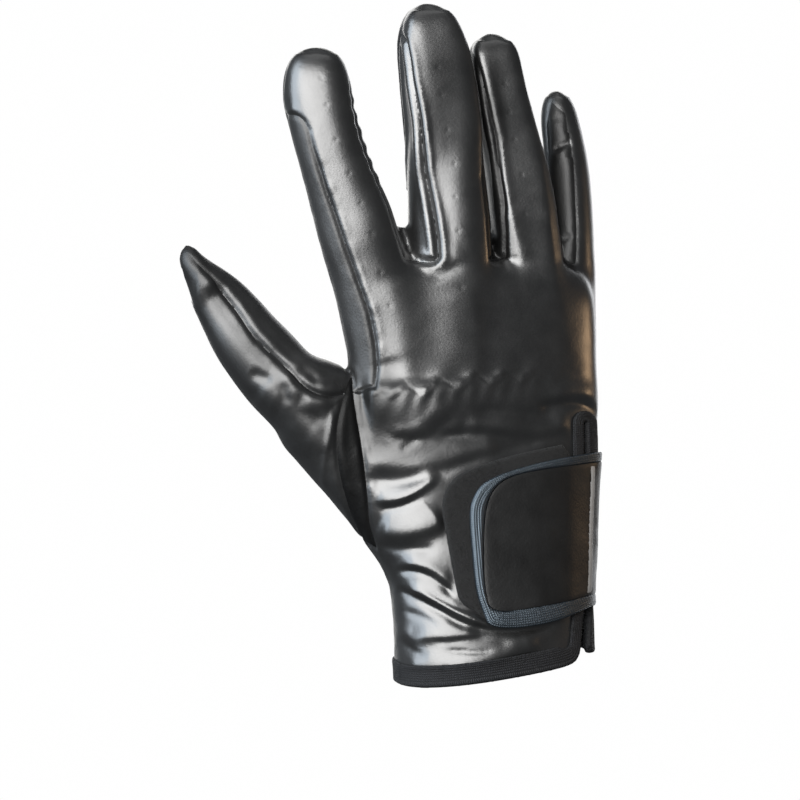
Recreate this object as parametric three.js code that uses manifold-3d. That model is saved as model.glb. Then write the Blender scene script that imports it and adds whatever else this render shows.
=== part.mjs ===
// A right-hand leather driving glove in its worn form, held up, in millimetres.
// +Z runs up the fingers, -X is the thumb side, -Y is the back of the hand and
// +Y the palm. The origin is the middle of the wrist opening.
import * as THREE from 'three';
import { mergeVertices } from 'three/addons/utils/BufferGeometryUtils.js';
import Module from 'manifold-3d';

const wasm = await Module();
wasm.setup();

// ---------------------------------------------------------------- sizes, mm
const WALL = 1.1; // leather
const GAP = 0.3; // clearance between two pieces sewn together
const HEM_SLOPE_ACROSS = 0.16; // the hem rises towards the little finger side
const HEM_SLOPE_DEPTH = 0.15; // and towards the palm
const HEM_LEATHER = 1.8; // leather stops this far above the hem plane
const TAPE = 0.8; // thickness of the edge tape
const TAPE_WIDTH = 6.5; // its width up the wrist
const SLIT_TAPE_WIDTH = 3.6; // its width beside the slit
const SLIT_TOP = 84; // height of the top of the wrist slit
const PATCH = 1.1; // thickness of the fuzzy patch
const TAB = 1.2; // thickness of the closure tab
const TAB_TAPE = 1.6; // thickness of the tape round it
const TAB_END = 12; // the tab is sewn down this far round the palm side
const SIMPLE = 0.1; // facets closer than this to flat are joined
const SEAM_TURN = THREE.MathUtils.degToRad(-20); // plane that the seams are laid out on

// ------------------------------------------------------------ section tables
// A row is a cross-section. x, y, z: its middle. half: half its width across.
// back, palm: its half thickness to the back and to the palm.
const BODY = table(['x', 'y', 'z', 'half', 'back', 'palm'], [
  [0.0, 0.0, -17.0, 34.0, 21.0, 21.0],
  [0.0, 0.0, 0.0, 34.4, 21.0, 21.0],
  [-1.4, 0.4, 27.2, 35.0, 19.6, 22.0],
  [-3.2, 0.5, 42.5, 37.8, 18.5, 23.0],
  [-5.5, 0.3, 64.6, 41.0, 16.8, 22.6],
  [-6.0, 0.2, 78.2, 42.7, 16.0, 21.4],
  [-6.9, 0.0, 91.8, 43.8, 15.6, 19.6],
  [-9.0, 0.0, 116.3, 44.9, 14.9, 15.8],
  [-10.1, 0.0, 125.8, 45.4, 14.0, 14.2],
  [-11.2, 0.0, 132.6, 44.0, 12.4, 12.6],
  [-11.8, 0.0, 136.7, 40.5, 9.8, 10.0],
  [-12.1, 0.0, 139.1, 34.0, 6.0, 6.2],
]);
const INDEX = table(['x', 'y', 'z', 'half', 'back', 'palm'], [
  [-36.0, 1.0, 108.8, 12.6, 11.5, 12.5],
  [-45.9, 1.0, 138.4, 13.3, 11.2, 11.8],
  [-49.5, 1.2, 150.3, 13.3, 11.0, 11.2],
  [-55.4, 1.8, 166.0, 12.1, 10.3, 10.4],
  [-60.3, 2.8, 183.6, 11.5, 9.8, 9.7],
  [-62.6, 3.6, 193.8, 11.6, 9.4, 9.2],
  [-62.8, 4.3, 200.6, 11.0, 8.7, 8.6],
  [-62.4, 4.9, 205.7, 9.4, 7.3, 7.2],
  [-61.9, 5.3, 209.1, 6.6, 5.0, 5.0],
  [-61.9, 5.5, 210.6, 2.6, 2.0, 2.0],
]);
const MIDDLE = table(['x', 'y', 'z', 'half', 'back', 'palm'], [
  [-14.4, -1.2, 108.8, 13.6, 12.0, 12.8],
  [-16.3, -1.6, 138.4, 14.2, 11.8, 12.2],
  [-16.9, -1.6, 150.3, 14.3, 11.4, 11.6],
  [-18.3, -1.2, 171.7, 13.2, 10.6, 10.6],
  [-19.8, -0.3, 193.8, 12.5, 10.0, 9.8],
  [-21.3, 0.6, 207.4, 11.9, 9.4, 9.2],
  [-22.9, 1.3, 215.9, 10.6, 8.5, 8.3],
  [-24.0, 1.7, 221.0, 9.0, 7.2, 7.0],
  [-24.6, 2.0, 224.4, 6.0, 4.8, 4.7],
  [-24.7, 2.1, 225.9, 2.4, 1.9, 1.9],
]);
const RING = table(['x', 'y', 'z', 'half', 'back', 'palm'], [
  [16.4, 0.5, 108.8, 12.8, 11.2, 12.0],
  [13.0, 0.3, 138.4, 12.6, 11.0, 11.2],
  [11.5, 0.4, 150.3, 12.0, 10.6, 10.6],
  [7.4, 1.4, 173.4, 10.7, 9.7, 9.6],
  [4.1, 2.6, 188.7, 9.7, 9.0, 8.9],
  [2.6, 3.6, 198.6, 9.0, 8.4, 8.3],
  [1.5, 4.6, 207.4, 8.7, 7.8, 7.7],
  [0.6, 5.1, 211.8, 7.6, 6.6, 6.5],
  [0.2, 5.5, 214.5, 5.2, 4.5, 4.5],
  [0.1, 5.7, 216.2, 2.2, 1.9, 1.9],
]);
const LITTLE = table(['x', 'y', 'z', 'half', 'back', 'palm'], [
  [27.2, 6.0, 108.8, 10.2, 9.4, 10.0],
  [29.9, 8.6, 138.4, 8.9, 8.6, 8.8],
  [30.3, 9.6, 150.3, 8.5, 8.3, 8.3],
  [30.2, 12.8, 173.4, 7.7, 7.5, 7.5],
  [29.4, 14.6, 183.6, 6.9, 6.8, 6.8],
  [28.7, 15.8, 189.7, 6.0, 6.0, 6.0],
  [28.4, 16.8, 194.5, 4.6, 4.6, 4.6],
  [28.2, 17.3, 196.9, 2.8, 2.8, 2.8],
  [28.3, 17.5, 197.9, 1.2, 1.2, 1.2],
]);
const THUMB = table(['x', 'y', 'z', 'half', 'back', 'palm'], [
  [-22.6, 4.0, 43.2, 16.4, 12.5, 13.0],
  [-42.1, 6.0, 67.3, 17.0, 12.6, 13.0],
  [-50.9, 7.0, 77.9, 17.0, 12.2, 12.4],
  [-58.1, 7.8, 85.5, 17.0, 11.9, 12.0],
  [-63.7, 8.4, 91.5, 15.9, 11.6, 11.7],
  [-69.0, 8.8, 94.6, 13.9, 11.4, 11.4],
  [-73.5, 9.3, 98.2, 13.0, 11.3, 11.2],
  [-79.3, 10.1, 105.5, 12.6, 10.8, 10.6],
  [-89.2, 11.6, 118.5, 10.9, 9.2, 9.0],
  [-93.8, 12.4, 125.2, 9.5, 7.8, 7.6],
  [-99.4, 13.2, 131.7, 7.3, 5.8, 5.6],
  [-102.7, 13.8, 136.9, 4.8, 4.0, 3.9],
  [-104.8, 14.2, 141.2, 2.6, 2.4, 2.4],
  [-106.2, 14.5, 144.4, 1.3, 1.3, 1.3],
]);
// The webs between two fingers: low at the back, rising to a crest inside.
const WEB_INDEX = table(['x', 'y', 'z', 'half', 'back', 'palm'], [
  [-31.0, 1.0, 120.0, 6.5, 9.0, 10.0],
  [-31.8, 1.4, 134.0, 6.0, 7.0, 9.0],
  [-33.0, 2.6, 142.5, 5.5, 4.0, 7.0],
  [-34.0, 3.6, 147.5, 4.5, 2.6, 4.6],
  [-34.3, 4.0, 149.5, 2.6, 1.4, 2.2],
]);
const WEB_MIDDLE = table(['x', 'y', 'z', 'half', 'back', 'palm'], [
  [-0.5, 1.0, 120.0, 6.5, 9.0, 10.0],
  [-0.8, 1.4, 133.0, 6.0, 7.0, 9.0],
  [-0.9, 2.6, 140.0, 5.0, 4.0, 7.0],
  [-1.0, 3.4, 144.5, 3.6, 2.4, 4.4],
  [-1.0, 3.8, 146.0, 2.2, 1.2, 2.0],
]);
const WEB_RING = table(['x', 'y', 'z', 'half', 'back', 'palm'], [
  [21.5, 3.6, 120.0, 6.0, 8.0, 9.0],
  [22.0, 4.6, 132.0, 5.5, 6.5, 8.0],
  [22.3, 5.6, 138.5, 4.5, 4.0, 6.0],
  [22.3, 6.4, 142.5, 3.4, 2.2, 4.0],
  [22.2, 6.8, 144.0, 2.0, 1.2, 2.0],
]);

// A tube: its rows, its turn about its own length, its sides and its squareness.
const TUBES = {
  body: { rows: BODY, roll: 0, sides: 26, square: 2.25, upright: true },
  index: { rows: INDEX, roll: 0, sides: 12, square: 2.15 },
  middle: { rows: MIDDLE, roll: 0, sides: 12, square: 2.15 },
  ring: { rows: RING, roll: 12, sides: 12, square: 2.15 },
  little: { rows: LITTLE, roll: 50, sides: 12, square: 2.1 },
  thumb: { rows: THUMB, roll: 0, sides: 14, square: 2.1 },
  webIndex: { rows: WEB_INDEX, roll: 0, sides: 8, square: 2 },
  webMiddle: { rows: WEB_MIDDLE, roll: 0, sides: 8, square: 2 },
  webRing: { rows: WEB_RING, roll: 0, sides: 8, square: 2 },
};

// Where each finger's side strips meet its back and its palm leather, in depth
// from the finger's middle. near, far: the side towards the thumb and the side
// away from it. Each row is a height and the two depths.
const SIDES = {
  index: { near: [[108.8, 9.2, 5.0], [150.3, 7.6, 5.0], [183.0, 6.4, 4.4], [187.4, 5.8, 4.2], [189.4, -3.2, 3.2], [215.0, -1.5, 1.5]],
    far: [[108.8, 6.0, 5.0], [150.3, 5.4, 5.0], [183.6, 5.0, 4.4], [196.0, 3.6, 3.2], [207.0, 0.2, 0.2], [215.0, 0.2, 0.2]] },
  middle: { near: [[108.8, 8.6, 5.4], [150.3, 8.2, 5.2], [171.7, 6.8, 5.0], [193.8, 5.6, 4.4], [210.0, 4.2, 3.4], [221.0, 0.2, 0.2], [230.0, 0.2, 0.2]],
    far: [[108.8, 6.0, 5.4], [150.3, 5.4, 5.2], [183.6, 5.0, 4.6], [205.0, 3.6, 3.2], [219.0, 0.2, 0.2], [230.0, 0.2, 0.2]] },
  ring: { near: [[108.8, 7.4, 5.0], [150.3, 7.0, 5.0], [173.4, 6.2, 4.6], [198.6, 5.2, 4.0], [210.0, 0.2, 0.2], [220.0, 0.2, 0.2]],
    far: [[108.8, 5.4, 5.0], [150.3, 5.0, 4.8], [173.4, 4.6, 4.4], [196.0, 3.4, 3.0], [209.0, 0.2, 0.2], [220.0, 0.2, 0.2]] },
  little: { near: [[108.8, 5.6, 5.0], [150.3, 5.4, 4.8], [173.4, 4.8, 4.2], [186.0, 3.6, 3.0], [194.0, 0.2, 0.2], [200.0, 0.2, 0.2]],
    far: [[108.8, 0.0, 0.0], [200.0, 0.0, 0.0]] },
};
// Depth of the seam between back and palm leather down the two edges of the
// hand, below the fingers.
const EDGE_SEAM = table(['z', 'near', 'far'], [
  [-40, 7, 4],
  [60, 6, 4],
  [97, 3, 4],
  [120, 3, 7],
]);

// Seam lines, [across, up] on a plane turned by SEAM_TURN about Z.
const THUMB_BASE = [[-48.5, 100.6], [-50.8, 93.5], [-53.6, 81.3], [-53.2, 70.7], [-50.8, 57.8], [-47.8, 49.0], [-44.7, 43.9]];
const GUSSET_EDGE = [[-48.1, 98.6], [-47.1, 88.1], [-45.4, 79.6], [-43.7, 66.3], [-43.0, 57.8], [-42.8, 49.0], [-40.3, 41.5]];
const THUMB_SEAM = [[-107.6, 148.2], [-104.6, 142.5], [-100.1, 136.7], [-95.0, 132.3], [-91.3, 127.2], [-86.5, 121.4], [-82.1, 114.2], [-77.7, 109.5], [-71.9, 104.4], [-64.1, 95.9], [-59.7, 93.5], [-53.9, 92.8], [-46.8, 95.2]];
// The slit runs up the outer back corner. half: half its opening.
const SLIT = table(['z', 'across', 'half'], [
  [-14, 29.2, 1.9],
  [5, 30.0, 1.8],
  [20, 30.9, 1.6],
  [38, 31.4, 1.4],
  [58, 31.8, 1.3],
  [SLIT_TOP, 31.6, 1.2],
]);
const PATCH_EDGE = [[24.9, 78.8], [12.4, 75.5], [2.9, 72.4], [-7.7, 68.7], [-13.4, 66.3], [-17.2, 61.2], [-18.2, 55.4], [-16.8, 47.6], [-15.1, 38.4], [-13.4, 29.2], [-12.1, 23.5], [-7.0, 20.4], [-1.2, 16.0], [8.7, 16.3], [18.9, 18.4], [24.9, 20.6]];
const TAB_OUTER = [[44.0, 75.8], [33.8, 74.1], [18.9, 71.7], [6.0, 68.3], [-0.5, 66.0], [-5.6, 63.2], [-8.7, 57.8], [-9.4, 52.7], [-8.3, 39.8], [-7.0, 26.9], [-4.2, 19.0], [-2.6, 15.0], [6.0, 14.3], [18.9, 16.3], [28.7, 20.4], [32.8, 22.1], [44.0, 24.8]];
const TAB_INNER = [[44.0, 72.4], [32.1, 70.4], [15.8, 68.3], [4.6, 66.0], [-0.5, 62.6], [-3.2, 57.5], [-4.2, 51.3], [-4.6, 39.8], [-3.9, 26.9], [-1.9, 19.7], [12.4, 21.4], [25.7, 24.1], [32.8, 26.2], [44.0, 28.6]];

// ------------------------------------------------------------------- helpers
function table(names, rows) {
  return rows.map((row) => Object.fromEntries(names.map((name, i) => [name, row[i]])));
}

function lookUp(rows, at, key, value) {
  if (at <= rows[0][key]) return rows[0][value];
  for (let i = 1; i < rows.length; i++) {
    if (at <= rows[i][key]) {
      const t = (at - rows[i - 1][key]) / (rows[i][key] - rows[i - 1][key]);
      return rows[i - 1][value] + t * (rows[i][value] - rows[i - 1][value]);
    }
  }
  return rows[rows.length - 1][value];
}

function solid(geometry) {
  const bare = geometry.index ? geometry.toNonIndexed() : geometry.clone();
  bare.deleteAttribute('normal');
  bare.deleteAttribute('uv');
  const merged = mergeVertices(bare, 1e-4);
  return new wasm.Manifold(new wasm.Mesh({
    numProp: 3,
    vertProperties: Float32Array.from(merged.attributes.position.array),
    triVerts: Uint32Array.from(merged.index.array),
  }));
}

function join(solids) {
  return solids.reduce((sum, next) => sum.add(next));
}

// Middle, tangent, sideways and palm directions of each row of a tube.
function frames({ rows, roll, upright }) {
  const middles = rows.map((r) => new THREE.Vector3(r.x, r.y, r.z));
  const turn = THREE.MathUtils.degToRad(roll);
  return rows.map((row, i) => {
    const along = upright ? new THREE.Vector3(0, 0, 1)
      : middles[Math.min(i + 1, rows.length - 1)].clone().sub(middles[Math.max(i - 1, 0)]).normalize();
    const side = new THREE.Vector3(1, 0, 0).addScaledVector(along, -along.x).normalize();
    const palm = along.clone().cross(side);
    return {
      row, middle: middles[i], along,
      side: side.clone().multiplyScalar(Math.cos(turn)).addScaledVector(palm, Math.sin(turn)),
      palm: palm.clone().multiplyScalar(Math.cos(turn)).addScaledVector(side, -Math.sin(turn)),
    };
  });
}

// The closed skin through a tube's sections, moved outwards by grow, which may
// differ across, at the back and at the palm.
function tubeSolid(tube, grow = { half: 0, back: 0, palm: 0 }) {
  const rings = [];
  const list = frames(tube);
  list.forEach((frame, i) => {
    const { row } = frame;
    const before = list[Math.max(i - 1, 0)];
    const after = list[Math.min(i + 1, list.length - 1)];
    const size = (r) => (r.half + r.back + r.palm) / 3;
    const run = after.middle.distanceTo(before.middle);
    const slope = tube.upright && row.z < 128 ? 0 : (size(before.row) - size(after.row)) / run;
    const level = 1 / Math.hypot(1, slope);
    const mean = (grow.half + grow.back + grow.palm) / 3;
    const middle = frame.middle.clone().addScaledVector(frame.along, mean * slope * level);
    const half = row.half + grow.half * level;
    const back = row.back + grow.back * level;
    const palm = row.palm + grow.palm * level;
    if (Math.min(half, back, palm) < 0.5) return;
    const ring = [];
    for (let k = 0; k < tube.sides; k++) {
      const angle = (k / tube.sides) * 2 * Math.PI;
      const c = Math.cos(angle);
      const s = Math.sin(angle);
      const power = 2 / tube.square;
      const across = half * Math.sign(c) * Math.abs(c) ** power;
      const deep = (s > 0 ? palm : back) * Math.sign(s) * Math.abs(s) ** power;
      ring.push(middle.clone().addScaledVector(frame.side, across).addScaledVector(frame.palm, deep));
    }
    rings.push({ ring, middle });
  });
  const n = tube.sides;
  const points = rings.flatMap(({ ring }) => ring);
  const first = points.push(rings[0].middle) - 1;
  const last = points.push(rings[rings.length - 1].middle) - 1;
  const faces = [];
  for (let i = 0; i + 1 < rings.length; i++) {
    for (let k = 0; k < n; k++) {
      const a = i * n + k;
      const b = i * n + ((k + 1) % n);
      faces.push(a, b, b + n, a, b + n, a + n);
    }
  }
  const top = (rings.length - 1) * n;
  for (let k = 0; k < n; k++) {
    faces.push(first, (k + 1) % n, k);
    faces.push(last, top + k, top + ((k + 1) % n));
  }
  return solid(indexed(points, faces));
}

function indexed(points, faces) {
  const geometry = new THREE.BufferGeometry();
  geometry.setAttribute('position', new THREE.Float32BufferAttribute(points.flatMap((p) => [p.x, p.y, p.z]), 3));
  geometry.setIndex(faces);
  return geometry;
}

// Inward by the wall, outward by more than it, and so on, for every tube.
function grown(by, names = Object.keys(TUBES)) {
  return join(names.map((name) => tubeSolid(TUBES[name], { half: by, back: by, palm: by })));
}

// A solid between two depths that vary over the hand. columns(z) gives, from
// left to right, [x, low, high].
function slab(levels, columns) {
  const low = [];
  const high = [];
  const rows = levels.map((z) => columns(z));
  rows.forEach((row, i) => row.forEach(([x, y0, y1]) => {
    low.push(new THREE.Vector3(x, y0, levels[i]));
    high.push(new THREE.Vector3(x, y1, levels[i]));
  }));
  const across = rows[0].length;
  const count = low.length;
  const faces = [];
  const quad = (a, b, c, d) => faces.push(a, b, c, a, c, d);
  for (let i = 0; i + 1 < levels.length; i++) {
    for (let j = 0; j + 1 < across; j++) {
      const a = i * across + j;
      const d = a + across;
      quad(a, a + 1, d + 1, d);
      quad(count + a, count + d, count + d + 1, count + a + 1);
    }
    const l = i * across;
    const r = l + across - 1;
    quad(l, l + across, count + l + across, count + l);
    quad(r, count + r, count + r + across, r + across);
  }
  const t = (levels.length - 1) * across;
  for (let j = 0; j + 1 < across; j++) {
    quad(j, count + j, count + j + 1, j + 1);
    quad(t + j, t + j + 1, count + t + j + 1, count + t + j);
  }
  return solid(indexed([...low, ...high], faces));
}

// A prism through the whole depth, its outline on the seam plane.
function prism(outline, near = -90, far = 90) {
  const right = new THREE.Vector3(Math.cos(SEAM_TURN), Math.sin(SEAM_TURN), 0);
  const up = new THREE.Vector3(0, 0, 1);
  const front = right.clone().cross(up);
  const shape = new THREE.Shape(outline.map(([x, y]) => new THREE.Vector2(x, y)));
  const geometry = new THREE.ExtrudeGeometry(shape, { depth: far - near, bevelEnabled: false });
  geometry.applyMatrix4(new THREE.Matrix4().makeBasis(right, up, front).setPosition(front.clone().multiplyScalar(-far)));
  return solid(geometry);
}

function box(x0, x1, y0, y1, z0, z1) {
  const geometry = new THREE.BoxGeometry(x1 - x0, y1 - y0, z1 - z0);
  geometry.translate((x0 + x1) / 2, (y0 + y1) / 2, (z0 + z1) / 2);
  return solid(geometry);
}

// Everything above the hem plane moved up by rise, as high as top.
function aboveHem(rise, top = 300) {
  const geometry = new THREE.BoxGeometry(400, 400, top);
  geometry.translate(0, 0, top / 2);
  const shear = new THREE.Matrix4().set(1, 0, 0, 0, 0, 1, 0, 0, HEM_SLOPE_ACROSS, HEM_SLOPE_DEPTH, 1, rise, 0, 0, 0, 1);
  geometry.applyMatrix4(shear);
  return solid(geometry);
}

const shifted = (line, by) => line.map(([x, y]) => [x + by, y]);

// --------------------------------------------------------- seams over the hand
const FINGERS = ['index', 'middle', 'ring', 'little'];
const KNUCKLES = 112; // the fingers' seams are followed from this height up

function sideDepths(name, edge, z) {
  const rows = table(['z', 'back', 'palm'], SIDES[name][edge]);
  return [lookUp(rows, z, 'z', 'back'), lookUp(rows, z, 'z', 'palm')];
}

// [x, depth of the back seam, depth of the palm seam] across the hand at one
// height: far left, then near edge, middle and far edge of each finger, far right.
function seamColumns(z) {
  const columns = [];
  const zf = Math.max(z, KNUCKLES);
  for (const name of FINGERS) {
    const { rows, roll } = TUBES[name];
    const turn = THREE.MathUtils.degToRad(roll);
    const x = lookUp(rows, zf, 'z', 'x');
    const y = lookUp(rows, zf, 'z', 'y');
    const half = Math.max(lookUp(rows, zf, 'z', 'half'), 2.5);
    const [nb, np] = sideDepths(name, 'near', zf);
    const [fb, fp] = sideDepths(name, 'far', zf);
    const dx = half * Math.cos(turn);
    const dy = half * Math.sin(turn);
    columns.push([x - dx, y - dy - nb, y - dy + np]);
    columns.push([x, y - (nb + fb) / 2, y + (np + fp) / 2]);
    columns.push([x + dx, y + dy - fb, y + dy + fp]);
  }
  for (let i = 3; i < 12; i += 3) {
    if (columns[i][0] - columns[i - 1][0] < 0.4) {
      const mid = (columns[i][0] + columns[i - 1][0]) / 2;
      columns[i - 1][0] = mid - 0.2;
      columns[i][0] = mid + 0.2;
    }
  }
  if (z < KNUCKLES) {
    const x = lookUp(BODY, z, 'z', 'x');
    const half = lookUp(BODY, z, 'z', 'half');
    const near = lookUp(EDGE_SEAM, z, 'z', 'near');
    const far = lookUp(EDGE_SEAM, z, 'z', 'far');
    columns.forEach((column, j) => {
      column[0] = x - half + (2 * half * j) / 11;
      if (z > 97) return; // the index strip runs down to the gathered line
      const depth = j < 3 ? near : j < 6 ? 0 : far;
      column[1] = depth;
      column[2] = depth;
    });
  }
  return [[-140, columns[0][1], columns[0][2]], ...columns, [90, columns[11][1], columns[11][2]]];
}

const LEVELS = [-30, 40, 96.5, 98.5, 111.5, 126, 140, 152, 166, 187.4, 189.4, 199, 208, 214.5, 221, 232];
const SHIFT = GAP / 2;
const backSide = slab(LEVELS, (z) => seamColumns(z).map(([x, back, palm]) => [x, -90, Math.min(back, palm) - SHIFT]));
const palmSide = slab(LEVELS, (z) => seamColumns(z).map(([x, back, palm]) => [x, Math.max(back, palm) + SHIFT, 90]));
const notPalm = slab(LEVELS, (z) => seamColumns(z).map(([x, back, palm]) => [x, -90, Math.max(back, palm) - SHIFT]));
const strips = slab(LEVELS.slice(2), (z) => seamColumns(z).map(([x, back, palm]) => {
  const b = back + SHIFT;
  const p = palm - SHIFT;
  return p - b > 0.1 ? [x, b, p] : [x, (b + p) / 2 - 0.05, (b + p) / 2 + 0.05];
}));

// ---------------------------------------------------------- the leather shell
const outer = grown(0);
const inner = grown(-WALL);
const shell = outer.subtract(inner).intersect(aboveHem(HEM_LEATHER));

const leftOf = (line, by) => prism([[-76, 160], [-140, 160], [-140, 30], [line[line.length - 1][0] + by, 30], ...shifted(line, by).reverse(), [-56, 108], [-63, 126]]);
const thumbZone = leftOf(THUMB_BASE, -SHIFT);
const notPalmZone = leftOf(THUMB_BASE, SHIFT);
const notBackZone = leftOf(GUSSET_EDGE, SHIFT).add(leftOf(THUMB_BASE, SHIFT));
const gussetZone = prism([...shifted(THUMB_BASE, SHIFT).slice(1), ...shifted(GUSSET_EDGE, -SHIFT).reverse().slice(0, -1)]);

// Between two finger middles, from a low line up to the end of the strip.
function between(left, right, low, top) {
  const middle = (name, z) => (name === 'start' ? -140 : lookUp(TUBES[name].rows, z, 'z', 'x'));
  const levels = [];
  for (let z = low; z < top; z += 8) levels.push(z);
  levels.push(top);
  return slab(levels, (z) => [[middle(left, z), -60, 60], [middle(right, z), -60, 60]]);
}

const slitLine = (way, by) => SLIT.map(({ z, across, half }) => [across + way * half + by, z]);
const slitSide = (way, by, reach) => [...slitLine(way, by), [reach, SLIT_TOP], [reach, -14]];
// The outer edge of the wrist, from the slit round to the palm leather, belongs
// to the palm panel.
const outerEdge = (way, by, top) => prism(slitSide(way, by, 60)).intersect(box(0, 60, -60, -6, -40, top)).add(box(20, 60, -6.4, 6, -40, top));
const back = shell.intersect(backSide).subtract(notBackZone).subtract(outerEdge(-1, 0, SLIT_TOP));
const palm = shell.intersect(palmSide.add(outerEdge(1, 0, SLIT_TOP - GAP))).subtract(notPalmZone);
const gusset = shell.intersect(notPalm).intersect(gussetZone);
const sideStrip = shell.intersect(strips).intersect(between('start', 'index', 97, 188.4)).subtract(notBackZone);
const stripA = shell.intersect(strips).intersect(between('index', 'middle', 118, 209));
const stripB = shell.intersect(strips).intersect(between('middle', 'ring', 118, 207));
const stripC = shell.intersect(strips).intersect(between('ring', 'little', 118, 198));
const thumbShell = shell.intersect(thumbZone);
const thumbLow = prism([...shifted(THUMB_SEAM, -0.1).map(([x, y]) => [x, y - SHIFT]), [-40, 20], [-150, 20], [-150, 148.2]].reverse());
const thumbHigh = prism([...shifted(THUMB_SEAM, 0.1).map(([x, y]) => [x, y + SHIFT]), [-30, 160], [-107.6, 160]]);
const thumbOuter = thumbShell.intersect(thumbLow);
const thumbInner = thumbShell.intersect(thumbHigh);

// ------------------------------------------------------------ tape and closure
const bodySolid = (half, backBy, palmBy) => tubeSolid(TUBES.body, { half, back: backBy, palm: palmBy });
// The slit, wider by by on both sides, up to top and only in the back wall.
const slitZone = (by, top) => prism([...slitLine(-1, -by), ...slitLine(1, by).reverse()]).intersect(box(5, 60, -60, -6.6, -40, top));
const tapeSkin = bodySolid(GAP + TAPE, GAP + TAPE, GAP + TAPE).subtract(bodySolid(-WALL - GAP - TAPE, -WALL - GAP - TAPE, -WALL - GAP - TAPE));
const leatherSkin = bodySolid(GAP, GAP, GAP).subtract(bodySolid(-WALL - GAP, -WALL - GAP, -WALL - GAP))
  .intersect(aboveHem(HEM_LEATHER - GAP)).subtract(slitZone(-GAP, SLIT_TOP - GAP));
const hemTape = aboveHem(HEM_LEATHER - GAP - TAPE, TAPE_WIDTH);
const slitTape = slitZone(SLIT_TAPE_WIDTH, SLIT_TOP - 2).intersect(aboveHem(HEM_LEATHER - GAP - TAPE));
const edgeTape = tapeSkin.intersect(hemTape.add(slitTape)).subtract(leatherSkin).subtract(slitZone(-GAP - TAPE * 0.7, SLIT_TOP - 4));

const backHalf = box(-60, 26.5, -60, -2, -20, 120);
const patch = bodySolid(GAP + PATCH, GAP + PATCH, GAP + PATCH).subtract(bodySolid(GAP, GAP, GAP))
  .intersect(prism(PATCH_EDGE)).intersect(backHalf);
const lift = GAP + PATCH + GAP;
const underTab = bodySolid(GAP + TAPE + GAP, lift, GAP);
const overTab = bodySolid(GAP + TAPE + GAP + TAB, lift + TAB, GAP + TAB);
const overTape = bodySolid(GAP + TAPE + GAP + TAB_TAPE, lift + TAB_TAPE, GAP + TAB_TAPE);
const tabReach = box(-40, 30, -60, -2, -10, 120).add(box(22, 60, -60, TAB_END, -10, 120));
const tab = overTab.subtract(underTab).intersect(inset(TAB_INNER)).intersect(tabReach);
const tabTape = overTape.subtract(underTab).intersect(prism(TAB_OUTER)).subtract(prism(TAB_INNER)).intersect(tabReach);

// The tab's outline, smaller by the gap to its tape.
function inset(outline) {
  const points = outline.map(([x, y]) => new THREE.Vector2(x, y));
  const area = THREE.ShapeUtils.area(points);
  return prism(points.map((p, i) => {
    const before = points[(i + points.length - 1) % points.length];
    const after = points[(i + 1) % points.length];
    const along = after.clone().sub(before).normalize();
    const out = new THREE.Vector2(along.y, -along.x).multiplyScalar(Math.sign(area));
    return [p.x - out.x * GAP, p.y - out.y * GAP];
  }));
}

// ------------------------------------------------------------------ the meshes
const group = new THREE.Group();

// Booleans can leave loose slivers, so each piece is its largest body.
function addPiece(name, body, color, roughness, metalness = 0) {
  const parts = body.decompose().sort((a, b) => b.volume() - a.volume());
  const mesh = parts[0].simplify(SIMPLE).getMesh();
  const geometry = new THREE.BufferGeometry();
  geometry.setAttribute('position', new THREE.Float32BufferAttribute(mesh.vertProperties, 3));
  geometry.setIndex(new THREE.Uint32BufferAttribute(mesh.triVerts, 1));
  geometry.computeVertexNormals();
  const item = new THREE.Mesh(geometry, new THREE.MeshStandardMaterial({ color, roughness, metalness }));
  item.name = name;
  item.userData.dropped = parts.slice(1).map((part) => part.volume());
  group.add(item);
}

addPiece('back_panel', back, 0x17181b, 0.36);
addPiece('palm_panel', palm, 0x17181b, 0.42);
addPiece('fourchette_index_middle', stripA, 0x191a1d, 0.45);
addPiece('fourchette_middle_ring', stripB, 0x191a1d, 0.45);
addPiece('fourchette_ring_pinky', stripC, 0x191a1d, 0.45);
addPiece('index_side_panel', sideStrip, 0x1c1e21, 0.55);
addPiece('thumb_outer', thumbOuter, 0x17181b, 0.38);
addPiece('thumb_inner', thumbInner, 0x17181b, 0.38);
addPiece('thumb_gusset', gusset, 0x141518, 0.5);
addPiece('edge_binding', edgeTape, 0x0f1115, 0.85);
addPiece('pile_patch', patch, 0x0e1013, 0.95);
addPiece('closure_tab', tab, 0x121417, 0.45);
addPiece('tab_binding', tabTape, 0x1b222b, 0.8);

export default group;
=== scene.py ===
import math

import bpy
import numpy as np
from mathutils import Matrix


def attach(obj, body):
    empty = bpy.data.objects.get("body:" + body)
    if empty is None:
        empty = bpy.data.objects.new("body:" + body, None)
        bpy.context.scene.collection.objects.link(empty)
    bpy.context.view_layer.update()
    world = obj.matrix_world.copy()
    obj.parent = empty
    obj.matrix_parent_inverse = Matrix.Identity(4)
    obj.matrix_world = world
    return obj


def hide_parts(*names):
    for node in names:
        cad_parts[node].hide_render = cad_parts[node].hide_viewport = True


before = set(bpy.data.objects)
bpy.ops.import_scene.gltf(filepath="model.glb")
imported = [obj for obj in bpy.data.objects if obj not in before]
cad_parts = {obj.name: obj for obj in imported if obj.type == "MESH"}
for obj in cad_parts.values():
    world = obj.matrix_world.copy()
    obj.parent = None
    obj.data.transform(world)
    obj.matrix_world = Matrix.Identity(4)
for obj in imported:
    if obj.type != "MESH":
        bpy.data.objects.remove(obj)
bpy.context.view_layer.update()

import openvdb

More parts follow.
